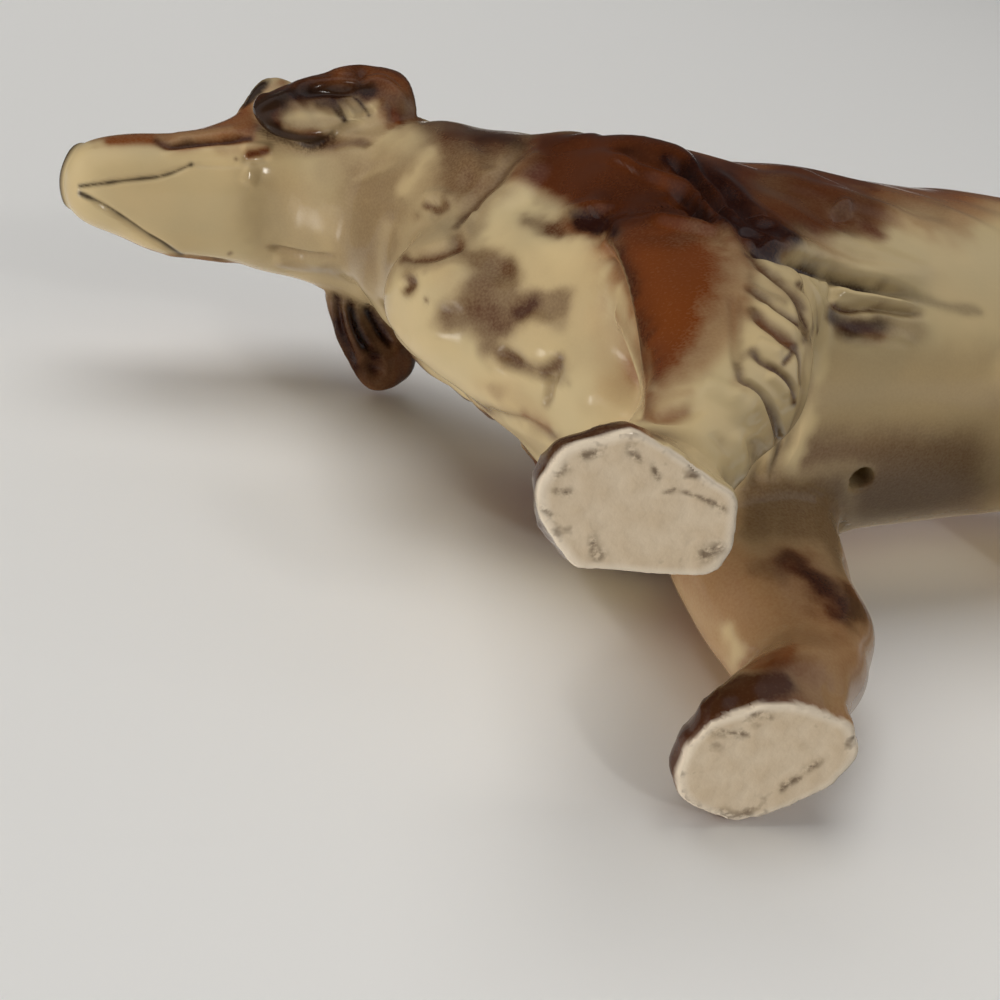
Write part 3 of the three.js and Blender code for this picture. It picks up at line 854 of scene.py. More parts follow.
LEG_RIDGES = (
    (((733, 290), (736, 320), (737, 348), (740, 374)), 10, -0.5),
    (((806, 345), (806, 390), (794, 435), (774, 478)), 8, -0.3),
    (((752, 256), (774, 269), (790, 274), (806, 284), (818, 298), (822, 320)), 7, 0.3),
    (((797, 292), (806, 302), (810, 318), (811, 334)), 5, 0.15),
    (((751, 268), (768, 282), (783, 293), (792, 304), (801, 320)), 6, 0.2),
    (((748, 283), (767, 295), (780, 300), (790, 309)), 5, 0.15),
    (((758, 302), (774, 316), (787, 327), (800, 340)), 9, 0.3),
    (((754, 341), (768, 348), (784, 355)), 10, 0.35),
    (((766, 374), (780, 384), (788, 399)), 9, 0.35),
    (((646, 426), (668, 419), (690, 410), (704, 398)), 14, -0.45),
    (((712, 430), (720, 452), (724, 484)), 11, -0.25),
    (((752, 436), (758, 460), (756, 490)), 11, -0.3),
    (((734, 430), (742, 458), (742, 490)), 11, 0.25),
    (((699, 380), (720, 390), (742, 402)), 16, 0.4),
)
ELBOW = (744, 404)
SHOULDER = (690, 300)
FLANK_RIDGES = (
    (((830, 284), (850, 294), (876, 298), (920, 306)), 9, 0.6),
    (((830, 304), (850, 309), (876, 307), (930, 316)), 7, -0.9),
    (((832, 276), (834, 290), (830, 304)), 6, -0.6),
    (((834, 322), (850, 334), (876, 336), (920, 342)), 12, 0.4),
)


def sculpt_leg(coat):
    for pixels, width, depth, _, _ in LEG_GROOVES:
        coat.ridge(pixels, width, depth)
    coat.ridges(LEG_RIDGES)
    coat.lump(ELBOW, 26, 0.6)
    coat.lump(SHOULDER, 50, 0.4)
    coat.ridges(FLANK_RIDGES, ("torso",))


HEAD_RIDGES = (
    (((80, 186), (105, 183), (126, 180), (144, 178), (158, 176), (175, 171), (193, 164)), 5, -0.5),
    (((80, 193), (105, 207), (126, 221), (146, 235), (165, 246), (184, 257)), 5, -0.5),
    (((193, 164), (215, 165), (246, 165)), 5, -0.25),
    (((156, 141), (169, 147), (189, 144), (219, 141), (250, 139)), 6, -0.5),
    (((165, 136), (185, 137), (230, 132), (252, 126)), 9, 0.4),
    (((160, 152), (190, 152), (230, 149)), 8, 0.3),
    (((240, 148), (258, 147), (274, 150)), 7, 0.4),
    (((240, 160), (258, 160), (272, 157)), 7, -0.3),
    (((268, 247), (292, 253), (318, 257), (336, 256)), 6, -0.6),
    (((272, 258), (300, 264), (330, 266)), 9, 0.4),
    (((244, 168), (250, 174), (246, 186)), 12, 0.3),
)


def sculpt_head(coat):
    coat.ridges(HEAD_RIDGES, ("head",))


EAR_RIM = (
    (252, 126), (252, 114), (262, 106), (284, 97), (298, 86), (318, 82), (345, 84), (375, 82),
    (398, 92), (404, 114), (400, 134),
)
EAR_LOWER_RIM = ((256, 130), (270, 138), (288, 144), (304, 147), (320, 144), (332, 137))
EAR_RIDGES = (
    (((276, 118), (300, 116), (330, 114), (360, 118), (384, 124)), 24, -0.7),
    (((334, 96), (340, 106), (347, 120)), 4, 0.3),
    (((354, 98), (361, 105), (368, 113)), 4, 0.3),
    (((344, 96), (350, 104), (357, 114)), 4, -0.25),
    (((298, 96), (325, 92), (360, 94)), 5, -0.4),
    (((388, 98), (393, 114), (390, 134)), 6, -0.3),
    (((326, 146), (345, 143), (360, 142), (382, 147)), 9, -0.35),
)
EAR_FRONT_HUMP = (341, 76)
EAR_BACK_HUMP = (384, 80)
EAR_NOTCH = ((358, 74), (362, 80), (364, 86))
RIGHT_EAR_GROOVES = (
    (((336, 296), (342, 330), (356, 366)), 6, -0.5),
    (((350, 300), (358, 330), (374, 356)), 6, -0.5),
    (((366, 304), (380, 330), (396, 350)), 6, -0.4),
)
RIGHT_EAR_RIDGES = (
    (((343, 298), (350, 330), (364, 362)), 6, 0.4),
    (((332, 320), (345, 365), (372, 388), (400, 382)), 7, 0.5),
)
RIGHT_EAR_HOLLOW = (372, 368)


def sculpt_ears(coat):
    ear = ("left_ear",)
    both = ("left_ear", "head")
    coat.ridge(EAR_RIM, 8, 0.5, ear)
    coat.ridge(EAR_LOWER_RIM, 11, 0.25, ear)
    coat.ridges(EAR_RIDGES, both)
    coat.lump(EAR_FRONT_HUMP, 18, 0.5, ear)
    coat.lump(EAR_BACK_HUMP, 20, 0.5, ear)
    coat.ridge(EAR_NOTCH, 7, -0.5, ear)
    ear = ("right_ear",)
    coat.ridges(RIGHT_EAR_GROOVES, ear)
    coat.ridges(RIGHT_EAR_RIDGES, ear)
    coat.lump(RIGHT_EAR_HOLLOW, 16, -0.9, ear)


CHEST_SIDE = ((600, 232), *CHEST_EDGE[:-1], (641, 420), (600, 422), (585, 380), (580, 300), (584, 250))
CHEST_CREAM = (
    (404, 262), (440, 262), (470, 245), (505, 212), (528, 190), (552, 200), (580, 214), (596, 240),
    (606, 262), (616, 305), (622, 360), (625, 412), (590, 420), (556, 430), (500, 425), (440, 390),
    (392, 330), (388, 290),
)
CHEST_CLOUD = (
    (457, 246), (484, 246), (514, 257), (523, 272), (522, 288), (541, 291), (572, 293), (571, 310),
    (562, 327), (545, 320), (530, 320), (512, 335), (501, 341), (507, 351), (528, 362), (548, 367),
    (560, 355), (567, 366), (556, 381), (530, 375), (504, 366), (482, 351), (477, 338), (468, 331),
    (448, 331), (438, 318), (440, 305), (458, 301), (467, 290), (473, 276), (466, 263), (454, 258),
)
# Painted shade: the next three darken the upper chest and the strip below its edge by the forefoot.
CHEST_SHADE = ((436, 262), (520, 245), (578, 288), (580, 330), (510, 348), (470, 342), (436, 322))
CHEST_TOP_SHADE = ((522, 246), (534, 262), (540, 280))
CHEST_FOOT_SHADE = ((518, 440), (532, 446), (546, 452))
CHEST_STREAK = ((518, 312), (534, 300))
CHEST_PATCHES = (
    (((474, 254), (494, 256), (513, 259), (518, 271), (500, 281), (478, 277)), 0.78, 7),
    (((475, 276), (495, 282), (492, 306), (472, 306)), 0.84, 9),
    (((464, 300), (490, 300), (507, 318), (504, 333), (484, 333), (468, 318)), 0.78, 7),
    (((536, 296), (566, 296), (564, 312), (550, 320), (536, 316)), 0.7, 10),
    (((482, 346), (502, 348), (528, 362), (530, 372), (506, 364)), 0.72, 5),
    (((560, 330), (600, 330), (604, 366), (570, 372)), 0.16, 16),
    (((396, 262), (440, 258), (462, 262), (440, 272), (404, 274)), 0.5, 8),
)
CHEST_UMBER = (
    ((506, 268), 13, 0.95, 0.8),
    (((476, 310), (490, 314)), 14, 0.95, 0.75),
    (((494, 326), (504, 326)), 11, 0.95, 0.8),
    (CHEST_STREAK, 11, 1.0, 0.9),
    ((449, 314), 10, 0.9, 0.8),
    (((506, 356), (516, 362)), 10, 0.95, 0.85),
    (((544, 372), (554, 366)), 9, 0.95, 0.85),
    (((553, 372), (561, 358)), 6, 0.9, 0.8),
    (((551, 376), (549, 390), (547, 404)), 6, 0.5, 0.85),
    (((559, 374), (570, 383)), 6, 0.4, 0.8),
    ((559, 323), 10, 0.5, 0.7),
    (((408, 278), (411, 284), (408, 290)), 8, 1.0, 0.9),
    ((428, 300), 4, 0.8, 0.9),
    (((404, 258), (432, 256), (452, 248), (460, 240)), 7, 1.0, 0.9),
    ((458, 242), 10, 1.0, 0.9),
    (((478, 406), (500, 412), (520, 418)), 9, 0.5, 0.8),
    (((500, 392), (494, 384)), 8, 0.35, 0.7),
    (((526, 420), (540, 430), (556, 438)), 9, 0.8, 0.9),
)
CHEST_HAZE = ((598, 258), (610, 300), (620, 350), (624, 392))
CHEST_RUST = (
    (((604, 244), (616, 272), (627, 312), (633, 345), (636, 372)), 17, 0.8, 0.9),
    (((486, 384), (520, 400), (545, 424)), 14, 0.2, 0.8),
    (((526, 418), (545, 428)), 9, 0.55, 0.8),
    (((450, 284), (440, 276)), 14, 0.1, 0.6),
)


def paint_chest(coat):
    coat.clean(CHEST_CREAM, 12, 1.0, TRUNK)
    coat.clean(CHEST_SIDE, 3, 1.0, TRUNK)
    coat.fill("umber", CHEST_SHADE, 0.2, 22, 1.0, TRUNK)
    coat.fill("umber", CHEST_CLOUD, 0.74, 10, 1.0, TRUNK)
    coat.paint("umber", CHEST_TOP_SHADE, 15, 0.14, 0.8, TRUNK)
    coat.paint("umber", CHEST_FOOT_SHADE, 11, 0.3, 0.8, TRUNK)
    coat.paint("deep", CHEST_STREAK, 8, 0.4, 0.9, TRUNK)
    for outline, value, soft in CHEST_PATCHES:
        coat.fill("umber", outline, value, soft, 1.0, TRUNK)
    coat.paints("umber", CHEST_UMBER, TRUNK)
    coat.paint("rust", CHEST_HAZE, 34, 0.28, 0.9, ("torso",))
    coat.paints("rust", CHEST_RUST, TRUNK)


# Outlines of brown washes that are painted shade on the side of the neck and on the cheek.
NECK_SIDE_PAINTED_SHADE = ((330, 148), (420, 150), (420, 250), (384, 300), (330, 270))
CHEEK_PAINTED_SHADE = ((250, 172), (330, 160), (340, 270), (260, 262))
NECK_TOP = (
    (416, 112), (444, 112), (500, 122), (540, 134), (512, 160), (496, 184), (468, 206), (440, 205),
    (428, 180), (432, 150),
)
NECK_TOP_LINE = ((470, 130), (500, 136), (530, 142))
NECK_CREASE = ((533, 140), (513, 160), (498, 180), (480, 197), (458, 226))
NECK_UMBER = (
    (((424, 112), (450, 120), (490, 128), (530, 138)), 9, 0.95, 0.9),
    (((450, 134), (490, 136), (524, 142)), 15, 1.0, 0.95),
    (((505, 150), (520, 146)), 10, 1.0, 0.8),
    (((533, 140), (513, 160), (498, 180), (480, 197), (462, 222)), 17, 0.62, 0.85),
    (NECK_CREASE, 7, 0.9, 0.9),
    ((468, 182), 9, 0.95, 0.9),
    (((456, 176), (470, 186), (484, 180)), 9, 0.8, 0.8),
    (((426, 206), (436, 209), (446, 206)), 6, 0.95, 0.9),
    ((417, 217), 7, 0.85, 0.9),
    (((400, 196), (420, 186), (436, 170)), 12, 0.45, 0.7),
    (((456, 226), (464, 216), (476, 208)), 4, 0.9, 0.8),
    (((352, 180), (375, 170), (397, 160)), 5, 0.4, 0.7),
    (((364, 200), (370, 202)), 3, 0.6, 0.8),
    (((384, 193), (392, 190)), 3, 0.6, 0.8),
    (((398, 202), (402, 198)), 3, 0.6, 0.8),
    (((400, 120), (414, 118), (430, 124)), 12, 0.9, 0.9),
    (((384, 225), (376, 262), (380, 290)), 10, 0.35, 0.7),
    (((400, 230), (410, 245), (404, 256)), 12, 0.4, 0.7),
)
NECK_PALE = ((430, 150), (418, 170), (404, 190))
CREASE_PALE = ((462, 230), (472, 218))
MANE_CURL = ((404, 222), (446, 212), (462, 232), (446, 254), (404, 262))


def paint_neck(coat):
    # Painted shade on the side of the neck and the cheek.
    coat.fill("umber", NECK_SIDE_PAINTED_SHADE, 0.68, 34, 0.95, TRUNK)
    coat.fill("umber", CHEEK_PAINTED_SHADE, 0.42, 30, 0.9, TRUNK)
    coat.fill("umber", NECK_TOP, 0.86, 16, 0.95, TRUNK)
    coat.paint("deep", NECK_TOP_LINE, 10, 0.7, 0.9, TRUNK)
    coat.paint("deep", NECK_CREASE, 5, 0.35, 0.9, TRUNK)
    coat.paints("umber", NECK_UMBER, TRUNK)
    coat.paint("umber", NECK_PALE, 8, 0.1, 0.7, TRUNK)
    coat.paint("umber", CREASE_PALE, 4, 0.2, 0.8, TRUNK)
    coat.fill("umber", MANE_CURL, 0.34, 12, 0.8, TRUNK)


SADDLE = (
    (538, 130), (600, 128), (700, 150), (760, 160), (880, 170), (880, 235), (840, 236), (800, 240),
    (775, 252), (740, 248), (700, 236), (650, 232), (606, 240), (584, 224), (560, 205), (528, 188),
    (515, 178), (524, 160),
)
LEG_RUST = (
    (604, 236), (650, 228), (700, 234), (735, 252), (737, 285), (730, 325), (718, 348), (700, 366),
    (672, 382), (652, 404), (636, 430), (620, 395), (616, 335), (608, 282), (600, 256),
)
FLANK = (
    (740, 250), (800, 262), (880, 290), (1000, 320), (1000, 500), (800, 500), (760, 480), (740, 400),
    (735, 300),
)
# Painted shade: brown washes on the belly and the lower flank, where they lie in shade.
BELLY_SHADE = ((800, 400), (830, 380), (1000, 400), (1000, 540), (760, 540), (740, 500))
FLANK_SHADE = ((812, 335), (1000, 345), (1000, 430), (806, 430))
SADDLE_LOWER = ((584, 190), (640, 176), (700, 190), (770, 240), (740, 246), (690, 232), (606, 236))
SADDLE_CREST = ((690, 165), (730, 170), (790, 236), (770, 250), (720, 215))
SADDLE_DEEP = (
    (((545, 142), (600, 140), (655, 148), (690, 160)), 9, 0.75, 0.9),
    (((578, 224), (594, 222), (612, 224)), 11, 1.0, 0.95),
    (((612, 226), (650, 226), (700, 232)), 12, 0.85, 0.9),
    (((727, 226), (749, 231), (758, 244), (775, 252)), 10, 1.0, 0.95),
    (((696, 166), (724, 180), (740, 200)), 12, 0.9, 0.9),
    (((755, 250), (770, 254), (795, 261), (816, 270), (830, 275), (852, 284), (880, 289)), 6, 1.0, 0.95),
    (((880, 289), (920, 300), (980, 312)), 7, 0.5, 0.8),
    (((745, 173), (790, 176), (830, 176)), 8, 0.6, 0.8),
    (((664, 160), (686, 172), (698, 190), (712, 208), (730, 222)), 6, 1.0, 0.9),
    (((668, 192), (688, 204), (700, 218), (722, 230)), 6, 1.0, 0.9),
    (((696, 166), (716, 184), (736, 206), (762, 226), (790, 246)), 9, 1.0, 0.9),
)
# Thinner dark paint on the saddle: the first two are painted highlights on a ridge and on the shoulder, the
# last two are lighter patches of the back.
SADDLE_THIN_AND_HIGHLIGHTS = (
    (((664, 187), (676, 200)), 7, 0.5, 0.6),
    (((586, 205), (600, 206)), 8, 0.55, 0.7),
    (((770, 200), (810, 205), (850, 222)), 18, 0.5, 0.8),
    (((830, 184), (880, 196), (940, 210)), 16, 0.35, 0.7),
)
SADDLE_RUST = (
    (((522, 172), (530, 160)), 14, 0.6, 0.7),
    (((770, 190), (810, 202), (850, 214)), 24, 0.6, 0.85),
    (((800, 232), (818, 246), (840, 250)), 16, 0.35, 0.85),
    (((846, 246), (880, 258), (940, 276)), 18, 0.05, 0.9),
    (((860, 200), (900, 212), (960, 225)), 22, 0.55, 0.8),
)
SADDLE_UMBER = (
    (((760, 200), (800, 214), (830, 228)), 26, 0.8, 0.9),
    (((800, 190), (850, 202), (880, 212)), 24, 0.8, 0.9),
    (((796, 236), (826, 248), (870, 258)), 16, 0.4, 0.8),
    (((846, 246), (880, 258), (940, 276)), 16, 0.05, 0.9),
    (((834, 218), (843, 216), (853, 220)), 4, 0.8, 0.8),
    (((840, 326), (858, 328), (884, 326)), 13, 1.0, 0.95),
    (((884, 326), (915, 330)), 16, 0.5, 0.8),
    (((830, 305), (850, 310), (880, 308)), 5, 1.0, 0.95),
    (((880, 308), (920, 314)), 6, 0.5, 0.8),
)
FLANK_SPOT = ((836, 318), (850, 328), (880, 326))
FLANK_SPOT_RIM = ((866, 334), (880, 336))


def paint_saddle(coat):
    coat.clean(FLANK, 8)
    # Painted shade on the belly and the lower flank.
    coat.fill("umber", BELLY_SHADE, 0.85, 40, 0.95)
    coat.fill("umber", FLANK_SHADE, 0.35, 22, 0.9)
    coat.fill("rust", SADDLE, 1.0, 12)
    coat.fill("deep", SADDLE, 0.66, 14, 0.95)
    coat.fill("deep", SADDLE_LOWER, 0.8, 16, 0.9)
    coat.fill("deep", SADDLE_CREST, 0.95, 12, 0.9)
    coat.paints("deep", SADDLE_DEEP)
    coat.paints("deep", SADDLE_THIN_AND_HIGHLIGHTS)
    coat.paints("rust", SADDLE_RUST)
    coat.paints("umber", SADDLE_UMBER)
    coat.paint("deep", FLANK_SPOT, 11, 0.8, 0.9)
    coat.paint("rust", FLANK_SPOT_RIM, 8, 0.5, 0.7)


def paint_back(coat):
    """The dark hair along the top of the back."""
    x = coat.points[:, 0] - DESIGN_ORIGIN[0]
    top = coat.soft_node("torso") * smoothstep(coat.normals[:, 2], 0.5, 0.8) * (1 - smoothstep(x, 14, 30))
    for mask, value in (("rust", 0.9), ("deep", 0.65)):
        coat.mask[mask] = np.maximum(coat.mask[mask], value * top)


BROW_UMBER = (
    (((528, 224), (548, 226), (568, 232)), 11, 0.75, 0.85),
    (((550, 227), (560, 230)), 9, 1.0, 0.9),
    (((566, 222), (584, 226)), 12, 0.9, 0.9),
    (((600, 236), (610, 246)), 9, 0.6, 0.8),
    (((540, 200), (564, 208), (580, 214)), 10, 0.4, 0.7),
    (((538, 150), (518, 172), (503, 193), (487, 212), (471, 234)), 13, 0.5, 0.8),
)
BROW_DEEP = ((578, 222), (594, 222), (610, 228))
BROW_RUST = ((572, 226), (594, 232), (610, 242))


def paint_brow(coat):
    """The brown at the top of the chest, where the coat's dark hair starts."""
    coat.paints("umber", BROW_UMBER)
    coat.paint("deep", BROW_DEEP, 11, 1.0, 0.95)
    coat.paint("rust", BROW_RUST, 10, 0.7, 0.8)


LEG_CREAM = (
    (643, 424), (655, 404), (700, 366), (737, 330), (737, 252), (760, 260), (830, 280), (830, 340),
    (800, 480), (640, 480),
)
LEG_DEEP = (
    (((612, 240), (624, 264), (632, 292)), 15, 0.8, 0.9),
    (((632, 300), (640, 335), (646, 372)), 20, 0.75, 0.95),
    (((646, 380), (648, 410)), 9, 0.35, 0.8),
    (((616, 236), (650, 238), (690, 238)), 13, 0.5, 0.85),
)
LEG_RUST_AND_SHADE_STROKES = (
    (((730, 266), (734, 290), (728, 318)), 22, 0.55, 0.85),
    (((722, 316), (712, 338), (698, 358)), 20, 0.5, 0.8),
    # The next three lay the brown stripe in the crease under the elbow: painted shade.
    (((656, 392), (668, 396), (690, 392)), 8, 0.35, 0.8),
    (((644, 424), (660, 418), (684, 409)), 13, 0.6, 0.9),
    (((644, 400), (650, 420)), 10, 0.7, 0.9),
    (((742, 260), (756, 272)), 8, 0.5, 0.8),
    (((735, 384), (748, 390)), 8, 0.25, 0.7),
    (((760, 320), (776, 334), (790, 345)), 6, 0.45, 0.8),
    (((752, 272), (770, 286), (784, 296)), 7, 0.25, 0.7),
)
LEG_UMBER_AND_SHADE = (
    (((742, 256), (750, 268), (750, 284)), 11, 0.7, 0.8),
    (((774, 278), (793, 295), (801, 309)), 6, 0.75, 0.8),
    (((750, 284), (768, 296), (784, 303)), 6, 0.55, 0.7),
    (((733, 300), (736, 330), (737, 352), (740, 374)), 8, 0.5, 0.8),
    (((744, 300), (748, 316)), 9, 0.5, 0.7),
    (((752, 352), (744, 356)), 6, 0.5, 0.7),
    # Painted shade in the crease under the elbow.
    (((646, 425), (666, 418), (688, 409)), 9, 0.5, 0.85),
    (((721, 440), (723, 458)), 7, 0.4, 0.7),
    (((757, 444), (759, 466)), 7, 0.4, 0.7),
    (((806, 345), (806, 390), (794, 435), (774, 478)), 6, 0.45, 0.8),
    (((770, 470), (752, 490)), 14, 0.8, 0.8),
)
LEG_HEEL = ((772, 470), (754, 496), (742, 515))


def paint_leg(coat):
    coat.clean(LEG_CREAM, 8)
    coat.fill("rust", LEG_RUST, 1.0, 20)
    coat.fill("deep", LEG_RUST, 0.18, 18)
    coat.paints("deep", LEG_DEEP)
    coat.paints("rust", LEG_RUST_AND_SHADE_STROKES)
    for pixels, _, _, width, value in LEG_GROOVES:
        coat.paint("umber", pixels, width, value, 0.95)
        coat.paint("deep", pixels, 0.8 * width, 0.35 * value, 0.9)
    coat.paints("umber", LEG_UMBER_AND_SHADE)
    coat.paint("rust", LEG_HEEL, 10, 0.75, 0.85, ("left_foreleg",))


FACE = (
    (60, 150), (160, 156), (262, 162), (300, 155), (390, 150), (400, 220), (380, 300), (300, 262),
    (180, 260), (60, 245),
)
# Outline of a faint brown wash that is painted shade on the muzzle.
MUZZLE_PAINTED_SHADE = ((90, 165), (190, 160), (250, 168), (262, 240), (180, 254), (120, 225))
BRIDGE = (
    (90, 134), (165, 126), (215, 116), (250, 98), (262, 108), (256, 138), (190, 142), (160, 141),
    (90, 142),
)
FACE_RUST = (
    (((110, 141), (140, 140), (158, 142), (170, 147), (190, 145), (219, 142), (250, 140)),
     7, 0.95, 0.95),
    (((130, 133), (180, 129), (215, 124), (244, 108)), 10, 0.9, 0.9),
    (((160, 137), (190, 137), (230, 131)), 7, 0.55, 0.8),
    (((220, 150), (244, 150), (256, 146)), 8, 0.35, 0.8),
    (((249, 154), (258, 153), (267, 151)), 5, 1.0, 0.95),
    (((256, 104), (266, 92), (280, 86)), 9, 0.65, 0.85),
    (((284, 84), (296, 80)), 6, 0.9, 0.8),
)
FACE_DEEP = (
    (((156, 141), (166, 146), (189, 144), (219, 141), (250, 139)), 3.6, 0.85, 0.95),
    (((158, 142), (166, 145)), 6, 0.6, 0.9),
    (((225, 140), (240, 139)), 4.5, 0.8, 0.9),
    (((250, 154), (266, 152)), 4, 0.6, 0.9),
    (((252, 96), (256, 90), (262, 84)), 3.5, 0.9, 0.9),
)
MOUTH_LINES = (
    ((80, 186), (105, 183), (126, 180), (144, 178), (158, 176), (175, 171), (192, 164)),
    ((80, 193), (105, 207), (126, 221), (146, 235), (165, 246), (183, 256)),
)
MOUTH_CORNER = (191, 165)
BROW_LINE = ((252, 93), (257, 91))
FACE_UMBER_AND_SHADE = (
    ((236, 159), 2.6, 0.8, 0.9),
    (((268, 247), (292, 253), (318, 257), (336, 256)), 4, 0.85, 0.9),
    # Painted shade under the jaw.
    (((284, 262), (310, 266), (335, 270)), 10, 0.55, 0.8),
    # Painted shade in the crease under the left ear, and the ear's painted shadow on the cheek.
    (((328, 143), (357, 141), (378, 145)), 5, 0.75, 0.9),
    (((322, 153), (345, 155)), 8, 0.3, 0.8),
    (((231, 253), (229, 254)), 2.4, 0.7, 0.8),
)


def paint_head(coat):
    face = ("head",)
    coat.clean(FACE, 7, 1.0, face)
    # Painted shade on the muzzle.
    coat.fill("umber", MUZZLE_PAINTED_SHADE, 0.1, 12, 0.9, face)
    coat.fill("rust", BRIDGE, 0.85, 7, 0.95, face)
    coat.fill("umber", BRIDGE, 0.25, 7, 0.9, face)
    coat.paints("rust", FACE_RUST, face)
    coat.paints("deep", FACE_DEEP, face)
    for pixels in MOUTH_LINES:
        coat.paint("line", pixels, 2.7, 0.95, 1.0, face)
    coat.paint("line", MOUTH_CORNER, 3.6, 1.0, 1.0, face)
    coat.paint("line", BROW_LINE, 3.5, 1.0, 1.0, face)
    coat.paints("umber", FACE_UMBER_AND_SHADE, face)


EAR_CUP = (
    (274, 118), (286, 106), (310, 101), (336, 104), (358, 99), (376, 103), (384, 122), (382, 140),
    (350, 142), (328, 138), (300, 132), (282, 127),
)
EAR_TIP = (
    (249, 121), (256, 104), (268, 97), (284, 94), (287, 100), (276, 108), (272, 114), (276, 124),
    (284, 130), (300, 134), (322, 134), (327, 138), (318, 148), (300, 150), (288, 145), (278, 139),
    (264, 137), (254, 132),
)
EAR_CUP_AND_CREASE_SHADE_STROKES = (
    ("umber", ((278, 121), (292, 128), (318, 135)), 9, 0.7, 0.85),
    ("umber", ((290, 114), (330, 108), (360, 118)), 8, 0.05, 0.9),
    ("umber", ((330, 138), (356, 137), (376, 142)), 6, 0.45, 0.8),
    ("rust", ((386, 112), (390, 126), (386, 140)), 9, 0.7, 0.85),
    ("rust", ((394, 112), (402, 128), (400, 142)), 8, 1.0, 0.95),
    ("deep", ((398, 110), (405, 128), (404, 140)), 7, 0.6, 0.9),
    # Painted shade in the crease under the ear.
    ("deep", ((328, 145), (345, 142), (360, 141), (378, 146)), 5, 0.35, 0.8),
    ("umber", ((326, 146), (345, 143), (360, 142), (382, 147)), 6, 0.85, 0.9),
)
EAR_RIM_STROKES = (
    ("line", ((252, 126), (251, 115), (260, 106), (278, 101)), 12, 0.7, 0.95),
    ("line", ((258, 131), (270, 138), (288, 143), (304, 147), (320, 144)), 8, 0.75, 0.95),
    ("line", ((290, 94), (315, 90), (345, 91), (372, 88)), 6, 0.6, 0.9),
    ("deep", ((252, 126), (251, 115), (260, 106), (278, 101)), 13, 1.0, 1.0),
    ("deep", ((258, 124), (268, 130), (276, 128)), 10, 1.0, 1.0),
    ("deep", ((256, 130), (270, 138), (288, 144), (304, 148), (320, 146), (332, 140)), 9, 1.0, 1.0),
    ("deep", ((286, 97), (310, 93), (338, 95), (370, 91)), 9, 1.0, 0.95),
    ("deep", ((332, 97), (338, 106), (346, 119)), 4, 1.0, 0.95),
    ("deep", ((354, 97), (361, 104), (369, 113)), 3.2, 1.0, 0.95),
    ("deep", ((318, 101), (334, 103), (344, 112)), 4, 0.8, 0.85),
    ("umber", ((344, 97), (350, 106), (354, 116)), 2.2, 0.0, 0.9),
    ("umber", ((364, 96), (370, 103), (376, 110)), 2.2, 0.0, 0.9),
    ("umber", ((284, 112), (310, 106), (330, 108)), 5, 0.35, 0.7),
    ("deep", ((346, 90), (360, 92)), 5, 0.9, 0.9),
    ("deep", ((396, 96), (399, 112)), 6, 0.75, 0.8),
    ("deep", (341, 74), 14, 0.25, 0.9),
    ("deep", ((370, 74), (388, 78), (402, 88)), 10, 0.25, 0.9),
)
# Dark paint in the hollow of the right ear: painted shade.
RIGHT_EAR_HOLLOW_SHADE = (370, 368)
RIGHT_EAR_TIP = ((396, 350), (404, 368), (394, 382))


def paint_ears(coat):
    ear = ("left_ear",)
    both = ("left_ear", "head")
    for mask, value in (("deep", 0.0), ("rust", 0.08), ("umber", 0.35)):
        coat.fill(mask, EAR_CUP, value, 7, 1.0, both)
    coat.fill("line", EAR_TIP, 0.85, 3, 1.0, ear)
    for mask, *stroke in EAR_CUP_AND_CREASE_SHADE_STROKES:
        coat.paint(mask, *stroke, both)
    for mask, *stroke in EAR_RIM_STROKES:
        coat.paint(mask, *stroke, ear)
    ear = ("right_ear",)
    for pixels, _, _ in RIGHT_EAR_GROOVES:
        coat.paint("deep", pixels, 9, 1.0, 0.95, ear)
    # Painted shade in the hollow of the right ear.
    coat.paint("deep", RIGHT_EAR_HOLLOW_SHADE, 13, 1.0, 0.95, ear)
    coat.paint("rust", RIGHT_EAR_TIP, 8, 0.6, 0.8, ear)
    coat.paint("deep", RIGHT_EAR_TIP, 8, 0.2, 0.8, ear)


RIGHT_LEG_AND_CREASE_SHADE_STROKES = (
    ("deep", ((680, 590), (720, 640), (745, 670)), 24, 0.0, 0.9),
    ("umber", ((680, 590), (720, 640), (745, 670)), 24, 0.0, 0.9),
    ("rust", ((670, 585), (700, 620), (720, 650)), 16, 0.5, 0.9),
    ("rust", ((728, 630), (736, 648), (736, 668)), 10, 0.12, 0.9),
    ("rust", ((740, 580), (770, 606), (800, 640)), 26, 0.62, 0.9),
    ("rust", ((830, 620), (850, 650), (862, 690)), 18, 0.7, 0.8),
    ("rust", ((790, 560), (820, 580), (846, 606)), 26, 0.95, 0.9),
    ("deep", ((784, 562), (806, 572), (832, 592), (852, 612)), 24, 0.9, 0.95),
    ("deep", ((762, 566), (784, 574)), 16, 0.5, 0.8),
    # Painted shadow in the crease at the top of the right paw.
    ("rust", ((744, 668), (760, 662), (790, 650)), 9, 0.9, 0.9),
    ("umber", ((746, 668), (762, 662), (788, 652)), 7, 0.85, 0.9),
    ("rust", ((740, 690), (780, 680), (830, 700)), 14, 0.5, 0.8),
    ("umber", ((740, 690), (780, 682), (830, 700)), 12, 0.25, 0.8),
    ("rust", ((674, 770), (680, 736), (700, 708), (740, 684)), 18, 0.12, 0.95),
    ("deep", ((674, 770), (677, 740), (694, 712), (728, 688)), 14, 0.5, 0.95),
    ("umber", ((674, 770), (680, 736), (700, 708), (740, 684)), 14, 0.95, 0.95),
    ("umber", ((740, 700), (770, 692), (800, 696)), 9, 0.6, 0.8),
    ("umber", ((830, 706), (856, 725)), 9, 0.3, 0.8),
)
PAW = (
    (668, 790), (668, 750), (684, 716), (712, 690), (744, 676), (790, 672), (800, 690), (760, 700),
    (720, 714), (690, 745), (684, 790),
)
